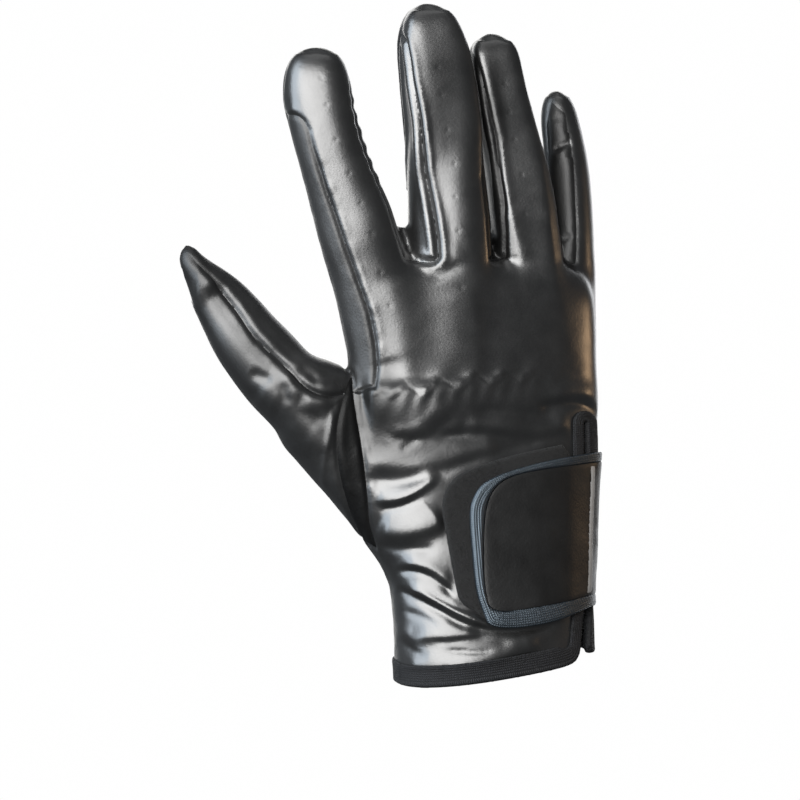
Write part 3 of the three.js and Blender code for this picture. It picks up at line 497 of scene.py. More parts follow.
# Folds over the back of the hand and the thumb. line: where it runs. up, down:
# how far it fades to each side. rise: how far it stands out, or in below nought.
FOLDS = [dict(zip(("line", "up", "down", "rise", "run_out"), row)) for row in [
    ([(362, 394), (382, 393), (420, 395), (456, 392), (500, 388), (540, 386)], 3.0, 6.4, 3.3, 44.0),
    ([(390, 276), (400, 310), (406, 345), (409, 376)], 3.0, 2.4, 0.55),
    ([(506, 206), (509, 226), (511, 246), (514, 268)], 2.6, 1.0, 0.8),
    ([(468, 284), (473, 310), (475, 345), (475, 376)], 1.6, 6.0, 0.65),
    ([(384, 446), (396, 436), (407, 424)], 1.3, 1.3, 0.25),
    ([(398, 452), (410, 444), (420, 434)], 1.2, 1.2, -0.35),
    ([(408, 436), (420, 426), (434, 414), (450, 403)], 1.6, 1.6, 0.45),
    ([(428, 438), (442, 425), (458, 412)], 1.5, 1.5, -0.4),
    ([(384, 436), (404, 439), (424, 439), (440, 434), (462, 438), (486, 440), (520, 440), (545, 439), (570, 432)], 1.6, 1.8, -0.6),
    ([(434, 441), (446, 436), (460, 433), (487, 433), (515, 437)], 1.2, 1.2, -0.5),
    ([(462, 424), (490, 424), (520, 428), (550, 430), (572, 424)], 1.8, 1.8, 0.8),
    ([(366, 462), (384, 464), (404, 464), (426, 461), (448, 456), (470, 450), (500, 445)], 2.5, 2.0, 0.95),
    ([(366, 477), (384, 480), (404, 480), (424, 477), (444, 470), (466, 462), (496, 453), (520, 447), (545, 441)], 2.0, 1.7, -0.6),
    ([(372, 499), (388, 499), (402, 497), (416, 490), (428, 481), (440, 472)], 1.9, 1.1, 1.3),
    ([(378, 509), (394, 507), (408, 503), (422, 494)], 1.0, 1.3, -0.7),
    ([(376, 528), (390, 532), (406, 532), (424, 528), (440, 520), (447, 510)], 3.1, 1.8, 2.0),
    ([(374, 540), (388, 546), (404, 548), (422, 548), (438, 549)], 1.4, 1.4, -0.6),
    ([(400, 562), (414, 563), (428, 568), (440, 576), (450, 587)], 1.8, 0.9, 1.4),
    ([(394, 571), (408, 569), (422, 570), (436, 576), (446, 586), (456, 597)], 1.0, 1.1, -1.0),
    ([(404, 586), (420, 591), (436, 600), (452, 609), (468, 617), (484, 621), (500, 622)], 1.6, 0.9, 1.7),
    ([(424, 588), (440, 597), (456, 606), (472, 612)], 0.7, 0.7, -0.6),
    ([(395, 588), (410, 593), (426, 601), (442, 609), (458, 618), (474, 626), (500, 630), (530, 629), (560, 621)], 1.1, 1.4, -1.1),
    ([(412, 632), (426, 634), (440, 636), (460, 634), (480, 632)], 3.0, 1.1, 1.1),
    ([(428, 637), (442, 640), (458, 638), (478, 636), (496, 634)], 0.8, 0.9, -0.5),
    ([(398, 636), (406, 645), (418, 653), (430, 656)], 1.2, 1.3, -0.9),
    ([(400, 608), (412, 612), (426, 618), (440, 626)], 1.0, 1.0, -0.4),
    ([(396, 622), (404, 630), (416, 638), (432, 643)], 1.1, 0.9, 0.45),
    ([(444, 615), (456, 622), (468, 628)], 0.8, 0.9, -0.35),
    ([(404, 663), (430, 664), (462, 663), (490, 658), (515, 651), (540, 642)], 2.6, 0.9, 1.3),
    ([(440, 650), (456, 649), (476, 651), (496, 648)], 0.8, 0.8, -0.45),
    ([(500, 643), (520, 641), (545, 634)], 1.8, 1.8, 0.6),
    ([(536, 408), (552, 406), (568, 402), (582, 403), (592, 410), (597, 424)], 1.4, 1.8, -1.5),
    ([(548, 398), (566, 392), (584, 392), (596, 402)], 2.0, 2.0, 1.0),
    ([(470, 412), (500, 411), (530, 415), (560, 419)], 1.8, 1.8, -0.7),
    # knuckles of the middle finger and the little finger's crease
    ([(430, 262), (446, 262), (458, 256), (466, 250)], 2.2, 1.4, 0.7),
    ([(426, 282), (442, 276), (456, 268), (466, 262)], 1.2, 1.2, -0.5),
    ([(552, 150), (558, 146), (565, 143), (573, 140)], 0.9, 0.9, -0.9),
    ([(553, 158), (560, 154), (568, 150)], 1.4, 1.2, 0.35),
    ([(563, 238), (567, 236), (573, 236)], 0.8, 0.8, -0.6),
    ([(551, 118), (558, 116), (564, 118)], 0.9, 0.9, -0.3),
]]
THUMB_FOLDS = [dict(zip(("line", "up", "down", "rise"), row)) for row in [
    ([(250, 372), (262, 378), (276, 380)], 1.8, 1.5, -0.9),
    ([(256, 394), (268, 401), (282, 406)], 3.2, 3.2, 0.55),
    ([(286, 368), (289, 382), (295, 394), (302, 402)], 1.5, 1.5, 0.7),
    ([(281, 382), (286, 394), (291, 406)], 1.5, 1.5, -0.45),
    ([(300, 402), (312, 404), (324, 404), (334, 402)], 2.0, 2.0, 0.75),
    ([(296, 416), (306, 413), (318, 417), (326, 426)], 1.8, 2.4, -0.5),
    ([(182, 246), (195, 261), (207, 275), (222, 293)], 1.2, 4.6, 1.8),
    ([(208, 282), (226, 308), (243, 332), (261, 353), (284, 374)], 1.7, 1.7, -0.5),
    ([(274, 348), (284, 350), (294, 354), (304, 352)], 1.6, 1.5, -0.4),
    ([(290, 360), (302, 362), (316, 366), (330, 374)], 1.5, 1.5, 0.45),
    ([(296, 368), (308, 374), (320, 382)], 1.3, 1.3, -0.45),
    ([(316, 384), (328, 383), (340, 386)], 1.4, 1.4, 0.5),
    ([(305, 436), (318, 440), (330, 452)], 2.0, 2.0, 0.4),
    ([(334, 406), (331, 430), (326, 454), (323, 476), (327, 492)], 0.6, 0.6, 0.45),
]]
PATCH_EDGE = [(27.4, 77.6), (14.4, 75.0), (2.9, 72.4), (-7.7, 68.7), (-13.4, 66.3), (-17.2, 61.2), (-18.2, 55.4), (-16.8, 47.6),
              (-15.1, 38.4), (-13.4, 29.2), (-12.1, 23.5), (-7.0, 20.4), (-1.2, 16.0), (8.7, 16.3), (18.9, 18.4), (27.4, 21.0)]
TAB_OUTER = [(44.0, 75.8), (33.8, 74.1), (18.9, 71.7), (6.0, 68.3), (-0.5, 66.0), (-5.6, 63.2), (-8.7, 57.8), (-9.4, 52.7), (-8.3, 39.8),
             (-7.0, 26.9), (-4.2, 19.0), (-2.6, 15.0), (6.0, 14.3), (18.9, 16.3), (28.7, 20.4), (32.8, 22.1), (44.0, 24.8)]
TAB_INNER = [(44.0, 72.4), (32.1, 70.4), (15.8, 68.3), (4.6, 66.0), (-0.5, 62.6), (-3.2, 57.5), (-4.2, 51.3), (-4.6, 39.8), (-3.9, 26.9),
             (-1.9, 19.7), (12.4, 21.4), (25.7, 24.1), (32.8, 26.2), (44.0, 28.6)]
ZIGZAG_PX = [(345, 389), (353, 394), (364, 391), (375.3, 386.5), (388.3, 396.5), (404.9, 384.5), (422.0, 396.5), (436.3, 377.5), (455.8, 389), (474.3, 372.5), (489, 384), (504, 372), (519, 381), (534, 369), (549, 378), (563, 366), (577, 374), (590, 364)]
ZIGZAG = px(ZIGZAG_PX)
DOTS = px([(321.7, 80.4), (327.4, 107.1), (337, 141.6), (349.7, 174.7), (361, 205), (372.1, 234.8), (381, 273.1), (389.9, 306.3),
           (437.9, 68.9), (441.7, 96), (447.5, 131), (454, 165), (455, 198), (458, 232), (461.4, 288.4),
           (505, 84), (509.5, 112.5), (514.5, 140), (521.8, 175), (525.2, 214.3)])


def seam_fields(P):
    """Signed distances, near enough, to every seam. Above nought: inside the named piece."""
    u, z = plane(P)
    d = distances(P)
    names = ["body", "index", "middle", "ring", "little", "web_index", "web_middle", "web_ring"]
    D = np.stack([d[n] for n in names], 1)
    W = np.exp(-np.clip(D - D.min(1, keepdims=True), 0, 20) / 1.3)
    W /= W.sum(1, keepdims=True)
    SB, SP = np.zeros((len(P), 8)), np.zeros((len(P), 8))
    x = P[:, 0]
    slit = np.interp(z, SLIT[:, 0], SLIT[:, 1])
    near, far = np.interp(z, *NEAR_EDGE.T), np.interp(z, *FAR_EDGE.T)
    side = step((x - np.interp(z, TUBES["body"].middle[:, 2], TUBES["body"].middle[:, 0])) / 40, -0.3, 0.3)
    SP[:, 0] = P[:, 1] - near * (1 - side) - far * side
    wrist = np.minimum(np.minimum(u - slit, SLIT_TOP - z), x - 5)
    SP[:, 0] = np.maximum(SP[:, 0], wrist)
    SB[:, 0] = SP[:, 0]
    for k, name in enumerate(FINGERS, 1):
        on = W[:, k] > 1e-4
        if not on.any():
            continue
        s, a, b, _ = TUBES[name].place(P[on])
        zz, uu = z[on], u[on]
        t = step(a, -2, 2)
        fs = np.array(FAR_SEAM[name], float)
        fb, fp = np.interp(zz, fs[:, 0], fs[:, 1]), np.interp(zz, fs[:, 0], fs[:, 2])
        if name == "index":
            near_b = near_p = P[on, 1] - np.interp(zz, *NEAR_EDGE.T)
        else:
            npt = np.array(NEAR_PALM[name], float)
            near_p = b - np.interp(zz, npt[:, 0], npt[:, 1])
            w = step(zz, SEAM_TOP[name] - 5, SEAM_TOP[name] + 1)
            near_b = (line_at(NEAR_SEAM[name], zz) - uu) * (1 - w) + (b + 0.3) * w
        SB[on, k] = near_b * (1 - t) + (b + fb) * t
        SP[on, k] = near_p * (1 - t) + (b - fp) * t
    for k, name in enumerate(("web_index", "web_middle", "web_ring"), 5):
        on = W[:, k] > 1e-4
        if not on.any():
            continue
        s, a, b, _ = TUBES[name].place(P[on])
        back, palm = WEB_SEAM[name]
        SB[on, k] = np.maximum(z[on] - back, b - 1.0)
        SP[on, k] = np.minimum(b - 1.0, palm - z[on])
    sb, sp = (SB * W).sum(1), (SP * W).sum(1)
    strip = np.minimum(sb - 0.35, -sp)
    xi = [np.interp(z, TUBES[n].middle[:, 2], TUBES[n].middle[:, 0]) for n in FINGERS]
    gap = (x > xi[0]).astype(int) + (x > xi[1]) + (x > xi[2]) + (x > xi[3])  # 0: outside the index
    strip = np.where((gap == 0) | (gap == 4) | (z < 118), np.minimum(strip, -9.0), strip)
    side = np.minimum(polygon(SIDE_PANEL, u, z), -sp)
    side = np.where(x < xi[0] + 12, side, -9.0)
    thumb = polygon(THUMB_ZONE, u, z)
    gusset = np.minimum(polygon(GUSSET, u, z), -sp)
    low = polygon(THUMB_LOW, u, z)
    hem = (z - HEM_UP - HEM_ACROSS * P[:, 0] - HEM_DEPTH * P[:, 1]) / 1.02
    reach = np.where(z > SLIT_TOP, np.hypot(u - slit, z - SLIT_TOP), np.abs(u - slit))
    slit_out = reach - np.interp(z, SLIT[:, 0], SLIT[:, 2])
    slit_out = np.where((P[:, 1] < -3) & (x > 5), slit_out, np.maximum(slit_out, 6.0) + 0 * z)
    return {"thumb": thumb, "gusset": gusset, "side": side, "strip": strip, "palm": sp, "low": low,
            "hem": hem, "slit": slit_out, "index_d": d["index"]}


def stroke(u, z, line, up, down, rise, run_out=5.0):
    """A fold along a line that fades at both ends."""
    p = curved(px(line), 3)
    seg = np.diff(p, axis=0)
    run = np.concatenate([[0], np.cumsum(np.hypot(*seg.T))])
    wide = 5.2 * max(up, down)
    m = (u > p[:, 0].min() - wide) & (u < p[:, 0].max() + wide) & (z > p[:, 1].min() - wide) & (z < p[:, 1].max() + wide)
    out = np.zeros(len(u))
    if not m.any():
        return out
    a, b = u[m], z[m]
    best, t_best, sign = np.full(len(a), 1e9), np.zeros(len(a)), np.zeros(len(a))
    for i, (dx, dy) in enumerate(seg):
        L = dx * dx + dy * dy
        t = np.clip(((a - p[i, 0]) * dx + (b - p[i, 1]) * dy) / L, 0, 1)
        ex, ey = a - p[i, 0] - t * dx, b - p[i, 1] - t * dy
        dist = np.hypot(ex, ey)
        c = dist < best
        best = np.where(c, dist, best)
        t_best = np.where(c, run[i] + t * math.sqrt(L), t_best)
        sign = np.where(c, np.sign(dx * ey - dy * ex), sign)
    w = np.where(sign * (1 if p[-1, 0] >= p[0, 0] else -1) >= 0, up, down) * (1.75 if rise > 0 else 1.3)
    near_end, far_end = min(5.0, run[-1] * 0.35), min(run_out, run[-1] * 0.7) if run_out > 5 else min(5.0, run[-1] * 0.35)
    fade = step(t_best, -0.5, near_end) * step(run[-1] - t_best, -0.5, far_end)
    out[m] = rise * np.exp(-((best / w) ** 2)) * fade
    return out


def line_distance(u, z, p):
    best = np.full(len(u), 1e9)
    for (x0, y0), (x1, y1) in zip(p[:-1], p[1:]):
        dx, dy = x1 - x0, y1 - y0
        t = np.clip(((u - x0) * dx + (z - y0) * dy) / (dx * dx + dy * dy), 0, 1)
        best = np.minimum(best, np.hypot(u - x0 - t * dx, z - y0 - t * dy))
    return best


turned = np.array([[math.cos(0.5), 0, -math.sin(0.5)], [0, 1, 0], [math.sin(0.5), 0, math.cos(0.5)]])


def wrinkles(P, n, f):
    """How far the leather stands out from the smooth skin, before the seams."""
    u, z = plane(P)
    front = step(-(n @ IN), 0.0, 0.4)
    on_thumb = step(f["thumb"], -1.0, 1.0)
    out = np.zeros(len(P))
    for fold in FOLDS:
        out += 0.8 * stroke(u, z, **fold) * (1 - on_thumb)
    for fold in THUMB_FOLDS:
        out += stroke(u, z, **fold) * on_thumb
    out *= front
    # the gathered line under the knuckles, and the puckers that it pulls
    zz = np.interp(u, ZIGZAG[:, 0], ZIGZAG[:, 1])
    mean = np.interp(u, [ZIGZAG[0, 0], ZIGZAG[-1, 0]], [(670 - 391) * 0.34, (670 - 370) * 0.34])
    out *= step(-polygon(rounded(PATCH_EDGE + [(60, 20), (60, 79)], 2), u, z), -1.0, 2.5)
    on = front * step(u, -52, -46) * (1 - on_thumb)
    d = line_distance(u, z, curved(ZIGZAG, 1))
    wave = np.cos((u + 40.5) / 11.0 * 2 * np.pi)
    on *= 1 - 0.75 * step(u, 0, 22)
    over = z - np.interp(u, ZIGZAG[:, 0], ZIGZAG[:, 1])
    out -= on * 0.12 * bell(d, 0.8)
    for (x0, y0), (x1, y1) in zip(ZIGZAG_PX[:-1], ZIGZAG_PX[1:]):
        if y1 < y0:
            rise = on * stroke(u, z, [(x0 - 1.5, y0 + 1), (0.5 * (x0 + x1), 0.5 * (y0 + y1)), (x1 + 1.5, y1 - 1)], 0.9, 0.8, 0.4)
            out += rise
    under = mean - z
    pull = step(under, -2, 3) * (1 - step(under, 3, 13))
    out += on * pull * 0.08 * np.cos((u + 40.5 + 0.25 * under) / 5.5 * 2 * np.pi)
    above = step(-under, 0, 2) * (1 - step(-under, 2, 8))
    out += on * above * 0.14 * wave
    # a small dip at each dot
    for a, b in DOTS:
        m = (np.abs(u - a) < 4) & (np.abs(z - b) < 4) & (front > 0)
        r = np.hypot(u[m] - a, z[m] - b)
        out[m] += front[m] * -0.06 * bell(r, 0.8)
    # gathers down the far side of the index
    s, a, b, _ = TUBES["index"].place(P)
    far = step(a, 5, 9) * (1 - on_thumb) * step(z, 160, 170) * (1 - step(z, 192, 199)) * step(8 - np.abs(b - 1), -2, 4)
    on_index = step(3 - f["index_d"], 0, 2)
    out += far * on_index * 0.24 * (np.sin(z / 5.2 * 2 * np.pi + 0.6) + 0.6 * noise(P, 7.0))
    # soft unevenness of worn leather, stronger where it is slack
    slack = 0.35 + 0.65 * (1 - step(z, 88, 104)) * (1 - on_thumb) + 0.25 * on_thumb
    out += slack * 0.5 * noise(P @ turned, (21, 15, 11)) + slack * 0.06 * noise(P @ turned + 40, (7, 5, 4))
    # the palm side: creases across the fingers and the palm
    rear = step(n @ IN, 0.0, 0.5)
    way = 3.2 * noise(P + 70, (14, 14, 14))
    for zc, w, h in ((152, 1.9, -0.5), (160, 3.8, 0.4), (177, 1.8, -0.42), (140, 2.2, -0.35)):
        out += rear * h * bell(z - zc - 0.12 * P[:, 0] + way, w) * (1 - on_thumb)
    out += rear * (1 - on_thumb) * (-0.75 * bell(z - 112 + 0.22 * P[:, 0] + way, 2.3) + 0.5 * bell(z - 106 + 0.22 * P[:, 0] + way, 3.6))
    out += rear * (1 - on_thumb) * (-0.7 * bell(z - 93 - 0.35 * P[:, 0] + way, 2.3) + 0.5 * bell(z - 87 - 0.35 * P[:, 0] + way, 3.6)) * step(P[:, 0], -48, -30)
    out += rear * (1 - on_thumb) * -0.6 * bell(P[:, 0] + 18 - 0.012 * (z - 60) ** 2 * 0.4 + way, 2.4) * step(z, 28, 45) * (1 - step(z, 84, 96))
    out += rear * (1 - on_thumb) * 0.5 * noise(P + 200, (16, 16, 9)) * (1 - step(z, 60, 84))
    return out


# ---------------------------------------------------------------- the panels
KEYS = ("thumb", "gusset", "side", "strip", "palm", "low", "edge", "tape")
PANELS = ("palm_panel", "back_panel", "index_side_panel", "fourchette_index_middle", "fourchette_middle_ring",
          "fourchette_ring_pinky", "thumb_gusset", "thumb_outer", "thumb_inner")


def edge_fields(f):
    """Distance from the wrist edge and the slit, rounded where they meet, and how far inside the tape."""
    edge = smin(f["hem"], f["slit"], 6.0)
    k = step(f["slit"] - f["hem"], -3, 3)
    return edge, SLIT_TAPE * (1 - k) + HEM_TAPE * k - edge


def wanted(P, f):
    """The longest edge wanted at each point, in mm."""
    u, z = plane(P)
    on_thumb = f["thumb"] > 0
    seam = np.where(on_thumb, np.abs(f["low"]), np.minimum.reduce([np.abs(f[k]) for k in ("gusset", "side", "strip", "palm")]))
    seam = np.minimum(seam, np.abs(f["thumb"]))
    out = np.full(len(P), 2.6)
    out = np.where(f["edge"] < 9, np.minimum(out, 1.25), out)
    out = np.where(seam < 4, np.minimum(out, 1.4), out)
    out = np.where(seam < 2.0, 0.9, out)
    facing = skin(P - IN * 2.0) > skin(P)
    folded = facing & (z < 102) & (z > -6) & (f["palm"] < 0) & ((u < -8) | (z > 66) | (z < 20)) & ~(u > 26)
    out = np.where(folded, np.minimum(out, 1.0), out)
    out = np.where(facing & (f["thumb"] > -2) & (z > 55) & (z < 105), np.minimum(out, 1.1), out)
    d = np.full(len(P), 9.0)
    for a, b in DOTS:
        d = np.minimum(d, np.hypot(u - a, z - b))
    out = np.where(facing & (d < 2.0), 0.42, out)
    out = np.where(facing & (f["palm"] < 0) & ~on_thumb & (line_distance(u, z, ZIGZAG) < 2.0), np.minimum(out, 0.65), out)
    return out


def fields(P):
    f = seam_fields(P)
    f["edge"], f["tape"] = edge_fields(f)
    return f


V, T = first_skin()
V = settle(V, 3)
low_cut = V[:, 2] - HEM_ACROSS * V[:, 0] - HEM_DEPTH * V[:, 1]
V, T, _ = compact(V, T[(low_cut[T] > -3).any(1)])
plain_V, plain_T = V, T
for turn_no in range(3):
    f = fields(V)
    V, T, _, added = refine(V, T, [], wanted(V, f))
    if not added:
        break
V = settle(V, 2)


def relax(V, T, mask, rounds):
    """Evens out the points in the mask."""
    E = np.concatenate([T[:, [0, 1]], T[:, [1, 2]], T[:, [2, 0]]])
    E = E[mask[E[:, 0]]]
    n = np.maximum(np.bincount(E[:, 0], minlength=len(V)), 1)[:, None]
    for _ in range(rounds):
        total = np.zeros_like(V)
        np.add.at(total, E[:, 0], V[E[:, 1]])
        V = np.where(mask[:, None], total / n, V)
    return V


at_tip = V[:, 0] < -103.4
for name, top in (("index", 211.2), ("middle", 226.5), ("ring", 216.6), ("little", 198.3)):
    at_tip |= (V[:, 2] > top - 2.6) & (np.abs(V[:, 0] - TUBES[name].middle[-1, 0]) < 12)
V = relax(V, T, at_tip, 12)
f = fields(V)
X = np.column_stack([V] + [f[k] for k in KEYS])
col = {k: 3 + i for i, k in enumerate(KEYS)}


def cut_by(X, T, label, key, where, plus=None, minus=None):
    """Cuts the triangles at key = 0 where the mask holds, and labels the two sides."""
    c = col[key]
    X[np.abs(X[:, c]) < 0.08, c] = 0
    g = np.where(where(X), X[:, c], 0.0)
    X, T, (label,), side = cut(X, T, g, [label], 0.0, 0.0)
    X[np.abs(X[:, c]) < 1e-9, c] = 0
    inside = where(X)[T].all(1)
    if plus is not None:
        label = np.where(inside & (side > 0) & (label < 0), plus, label)
    if minus is not None:
        label = np.where(inside & (side < 0) & (label < 0), minus, label)
    return X, T, label


label = np.full(len(T), -1)
X, T, label = cut_by(X, T, label, "edge", lambda X: X[:, 0] > -1e9, None, 99)
keep = label != 99
T, label = T[keep], label[keep]
X, T, _ = compact(X, T)
X, T, label = cut_by(X, T, label, "tape", lambda X: X[:, 0] > -1e9)
X, T, label = cut_by(X, T, label, "thumb", lambda X: X[:, 0] > -1e9)
X, T, label = cut_by(X, T, label, "low", lambda X: X[:, col["thumb"]] >= 0, 8, 7)
off = lambda X: X[:, col["thumb"]] <= 0
X, T, label = cut_by(X, T, label, "gusset", off, 6)
off2 = lambda X: off(X) & (X[:, col["gusset"]] <= 0)
X, T, label = cut_by(X, T, label, "side", off2, 2)
off3 = lambda X: off2(X) & (X[:, col["side"]] <= 0)
X, T, label = cut_by(X, T, label, "strip", off3, 3)
off4 = lambda X: off3(X) & (X[:, col["strip"]] <= 0)
X, T, label = cut_by(X, T, label, "palm", off4, 0, 1)
centre = X[T][:, :, :3].mean(1)
xi = [np.interp(centre[:, 2], TUBES[n].middle[:, 2], TUBES[n].middle[:, 0]) for n in FINGERS]
gap = np.sum([centre[:, 0] > x for x in xi], 0)
label = np.where(label == 3, 2 + np.clip(gap, 1, 3), label)
label = np.where(label < 0, np.where(centre[:, 1] > 2, 0, 1), label)


def islands(T):
    """The island number of each triangle."""
    used, inv = np.unique(T, return_inverse=True)
    inv = inv.reshape(-1, 3)
    par = np.arange(len(used))
    while True:
        m = np.minimum.reduce([par[inv[:, 0]], par[inv[:, 1]], par[inv[:, 2]]])
        new = par.copy()
        for c in range(3):
            np.minimum.at(new, inv[:, c], m)
        new = new[new]
        if (new == par).all():
            return par[inv[:, 0]]
        par = new


for k in range(len(PANELS)):  # a stray patch goes to the panel beside it
    mine = np.nonzero(label == k)[0]
    num, inv, count = np.unique(islands(T[mine]), return_inverse=True, return_counts=True)
    for small in np.nonzero(count < count.max())[0]:
        tri = mine[inv.reshape(-1) == small]
        beside = np.isin(T, np.unique(T[tri])).any(1) & (label != k)
        if beside.any():
            label[tri] = np.bincount(label[beside]).argmax()


# ------------------------------------------------------- seams, then the relief
from mathutils import kdtree


def border_between(T, label):
    """Edges shared by two different labels: the two ends and the two labels."""
    E = np.concatenate([T[:, [0, 1]], T[:, [1, 2]], T[:, [2, 0]]])
    L = np.tile(label, 3)
    key = np.minimum(E[:, 0], E[:, 1]).astype(np.int64) * (T.max() + 1) + np.maximum(E[:, 0], E[:, 1])
    o = np.argsort(key, kind="stable")
    same = np.nonzero(key[o][1:] == key[o][:-1])[0]
    i, j = o[same], o[same + 1]
    m = L[i] != L[j]
    return E[i[m]], L[i[m]], L[j[m]]


def seam_distance(V, T, label):
    """For each corner of each triangle's own piece: distance to its nearest seam and which seam."""
    E, la, lb = border_between(T, label)
    n = np.maximum(1, np.ceil(np.linalg.norm(V[E[:, 0]] - V[E[:, 1]], axis=1) / 0.2).astype(int))
    pts, pair = [], []
    for m in range(1, n.max() + 1):
        s = n == m
        for k in range(m + 1):
            pts.append(V[E[s, 0]] + (V[E[s, 1]] - V[E[s, 0]]) * (k / m))
            pair.append(np.stack([np.minimum(la[s], lb[s]), np.maximum(la[s], lb[s])], 1))
    pts, pair = np.concatenate(pts), np.concatenate(pair)
    dist, kind = np.full(len(V), 99.0), np.full(len(V), -1)
    for L in range(len(PANELS)):
        mine = np.nonzero((pair == L).any(1))[0]
        verts = np.unique(T[label == L])
        if not len(mine) or not len(verts):
            continue
        tree = kdtree.KDTree(len(mine))
        for i in mine:
            tree.insert(pts[i], int(i))
        tree.balance()
        for v in verts:
            _, i, d = tree.find(V[v])
            if d < dist[v]:
                dist[v], kind[v] = d, pair[i, 0] * 10 + pair[i, 1]
    return dist, kind


def shell(V, N, T, top, bottom):
    """A closed piece between two offsets from the skin. Returns points, triangles and the part: 0 top, 1 bottom, 2 rim."""
    n = len(V)
    E = np.concatenate([T[:, [0, 1]], T[:, [1, 2]], T[:, [2, 0]]])
    key, rev = E[:, 0].astype(np.int64) * n + E[:, 1], E[:, 1].astype(np.int64) * n + E[:, 0]
    a, b = E[~np.isin(key, rev)].T
    P = np.concatenate([V + N * np.reshape(top, (-1, 1)), V + N * np.reshape(bottom, (-1, 1))])
    W = np.concatenate([np.stack([b, a, a + n], 1), np.stack([b, a + n, b + n], 1)])
    part = np.concatenate([np.zeros(len(T), int), np.ones(len(T), int), np.full(len(W), 2)])
    return P, np.concatenate([T, T[:, ::-1] + n, W]), part


def add_piece(name, P, T, materials, which=None, sharp=62, node=None, extra=None):
    me = bpy.data.meshes.new(name)
    me.vertices.add(len(P))
    me.vertices.foreach_set("co", (np.asarray(P, float) * 0.001).ravel())
    me.loops.add(3 * len(T))
    me.loops.foreach_set("vertex_index", np.asarray(T, np.int32).ravel())
    me.polygons.add(len(T))
    me.polygons.foreach_set("loop_start", np.arange(0, 3 * len(T), 3, dtype=np.int32))
    me.update(calc_edges=True)
    for m in materials:
        me.materials.append(m)
    if which is not None:
        me.polygons.foreach_set("material_index", np.asarray(which, np.int32))
    me.polygons.foreach_set("use_smooth", np.ones(len(T), bool))
    if extra is not None:
        for key, value in extra.items():
            value = np.asarray(value, np.float32)
            at = me.attributes.new(key, "FLOAT" if value.ndim == 1 else "FLOAT_VECTOR", "POINT")
            at.data.foreach_set("value" if value.ndim == 1 else "vector", value.ravel())
    if sharp:
        me.set_sharp_from_angle(angle=math.radians(sharp))
    ob = bpy.data.objects.new(name, me)
    bpy.context.scene.collection.objects.link(ob)
    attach(ob, "root")
    if node:
        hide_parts(node)
    return ob


# how each seam draws the leather in: depth, width, and the roll beside it: height, place, width
SEAMS = {
    (7, 8): (-0.9, 0.9, 0.34, 2.6, 1.5), "strip": (-0.7, 0.85, 0.2, 2.5, 1.5), "side": (-0.85, 0.85, 0.14, 2.1, 1.3),
    "gusset": (-0.55, 0.85, 0.14, 2.1, 1.3), "plain": (-0.55, 0.8, 0.14, 2.1, 1.3),
}
seam_d, seam_kind = seam_distance(X[:, :3], T, label)


def seam_relief(d, kind, P, clear):
    out = np.zeros(len(d))
    lo, hi = kind // 10, kind % 10
    side = np.where(kind == 78, 0, np.where((lo <= 1) & (hi >= 3) & (hi <= 5), 1, np.where((lo == 2) | (hi == 2), 2, np.where((lo == 6) | (hi == 6), 3, 4))))
    for k, key in enumerate([(7, 8), "strip", "side", "gusset", "plain"]):
        m = side == k
        depth, w, roll, place, rw = SEAMS[key]
        x = d[m]
        out[m] = depth * bell(x, w) + roll * bell(x - place, rw)
    u, z = plane(P)
    # the near seam of the middle finger is rolled harder than the others
    m = (side == 1) & (np.abs(u - line_at(NEAR_SEAM["middle"], z)) < 7) & (z > 130)
    out[m] += 0.4 * bell(d[m] - 2.4, 1.1) - 0.25 * bell(d[m], 0.8)
    out = np.where((P[:, 0] > 22) & (z > 128), out * 0.3, out)
    out = np.where(side == 2, out * (1 - 0.45 * step(z, 168, 182)), out)
    m = (side == 1) & (P[:, 0] > 0) & (P[:, 0] < 18) & (np.abs(u - line_at(NEAR_SEAM["ring"], z)) < 6)
    out[m] += 0.16 * bell(d[m] - 1.7, 1.0)
    pucker = noise(P, (3.4, 3.4, 3.4)) * bell(d - 1.8, 1.6) * np.where(side == 1, 0.05, 0.12)
    # flatter where a seam runs out at a tip
    tip = np.ones(len(P))
    for name, top in (("index", 203.0), ("middle", 216.0), ("ring", 206.0), ("little", 189.0)):
        mine = np.abs(P[:, 0] - TUBES[name].middle[-1, 0]) < 14
        tip = np.where(mine & (P[:, 2] > top - 30), np.minimum(tip, 1 - 0.8 * step(P[:, 2], top - 6, top + 3)), tip)
    tip = np.minimum(tip, 1 - 0.65 * step(-P[:, 0], 98, 105) * step(P[:, 2], 120, 132))
    return (out + pucker) * clear * tip


PV = X[:, :3]
PN = normal_at(PV)
F = fields(PV)
clear = step(F["edge"], 4.8, 8.5)
lift = wrinkles(PV, PN, F) * np.maximum(step(F["edge"], 0, 7), 0.35) + seam_relief(seam_d, seam_kind, PV, clear)
DV = PV + PN * lift[:, None]
DN = vertex_normals(DV, T)
# the inner face follows the smooth normal where a fold is tight
IN_N = PN * 0.6 + DN * 0.4
IN_N /= np.linalg.norm(IN_N, axis=1, keepdims=True)


# --------------------------------------------------------------- materials
def new_material(name):
    m = bpy.data.materials.new(name)
    m.use_nodes = True
    nt = m.node_tree
    nt.nodes.clear()
    out = nt.nodes.new("ShaderNodeOutputMaterial")
    bsdf = nt.nodes.new("ShaderNodeBsdfPrincipled")
    nt.links.new(bsdf.outputs["BSDF"], out.inputs["Surface"])
    coord = nt.nodes.new("ShaderNodeTexCoord")
    return m, nt, bsdf, coord.outputs["Object"]


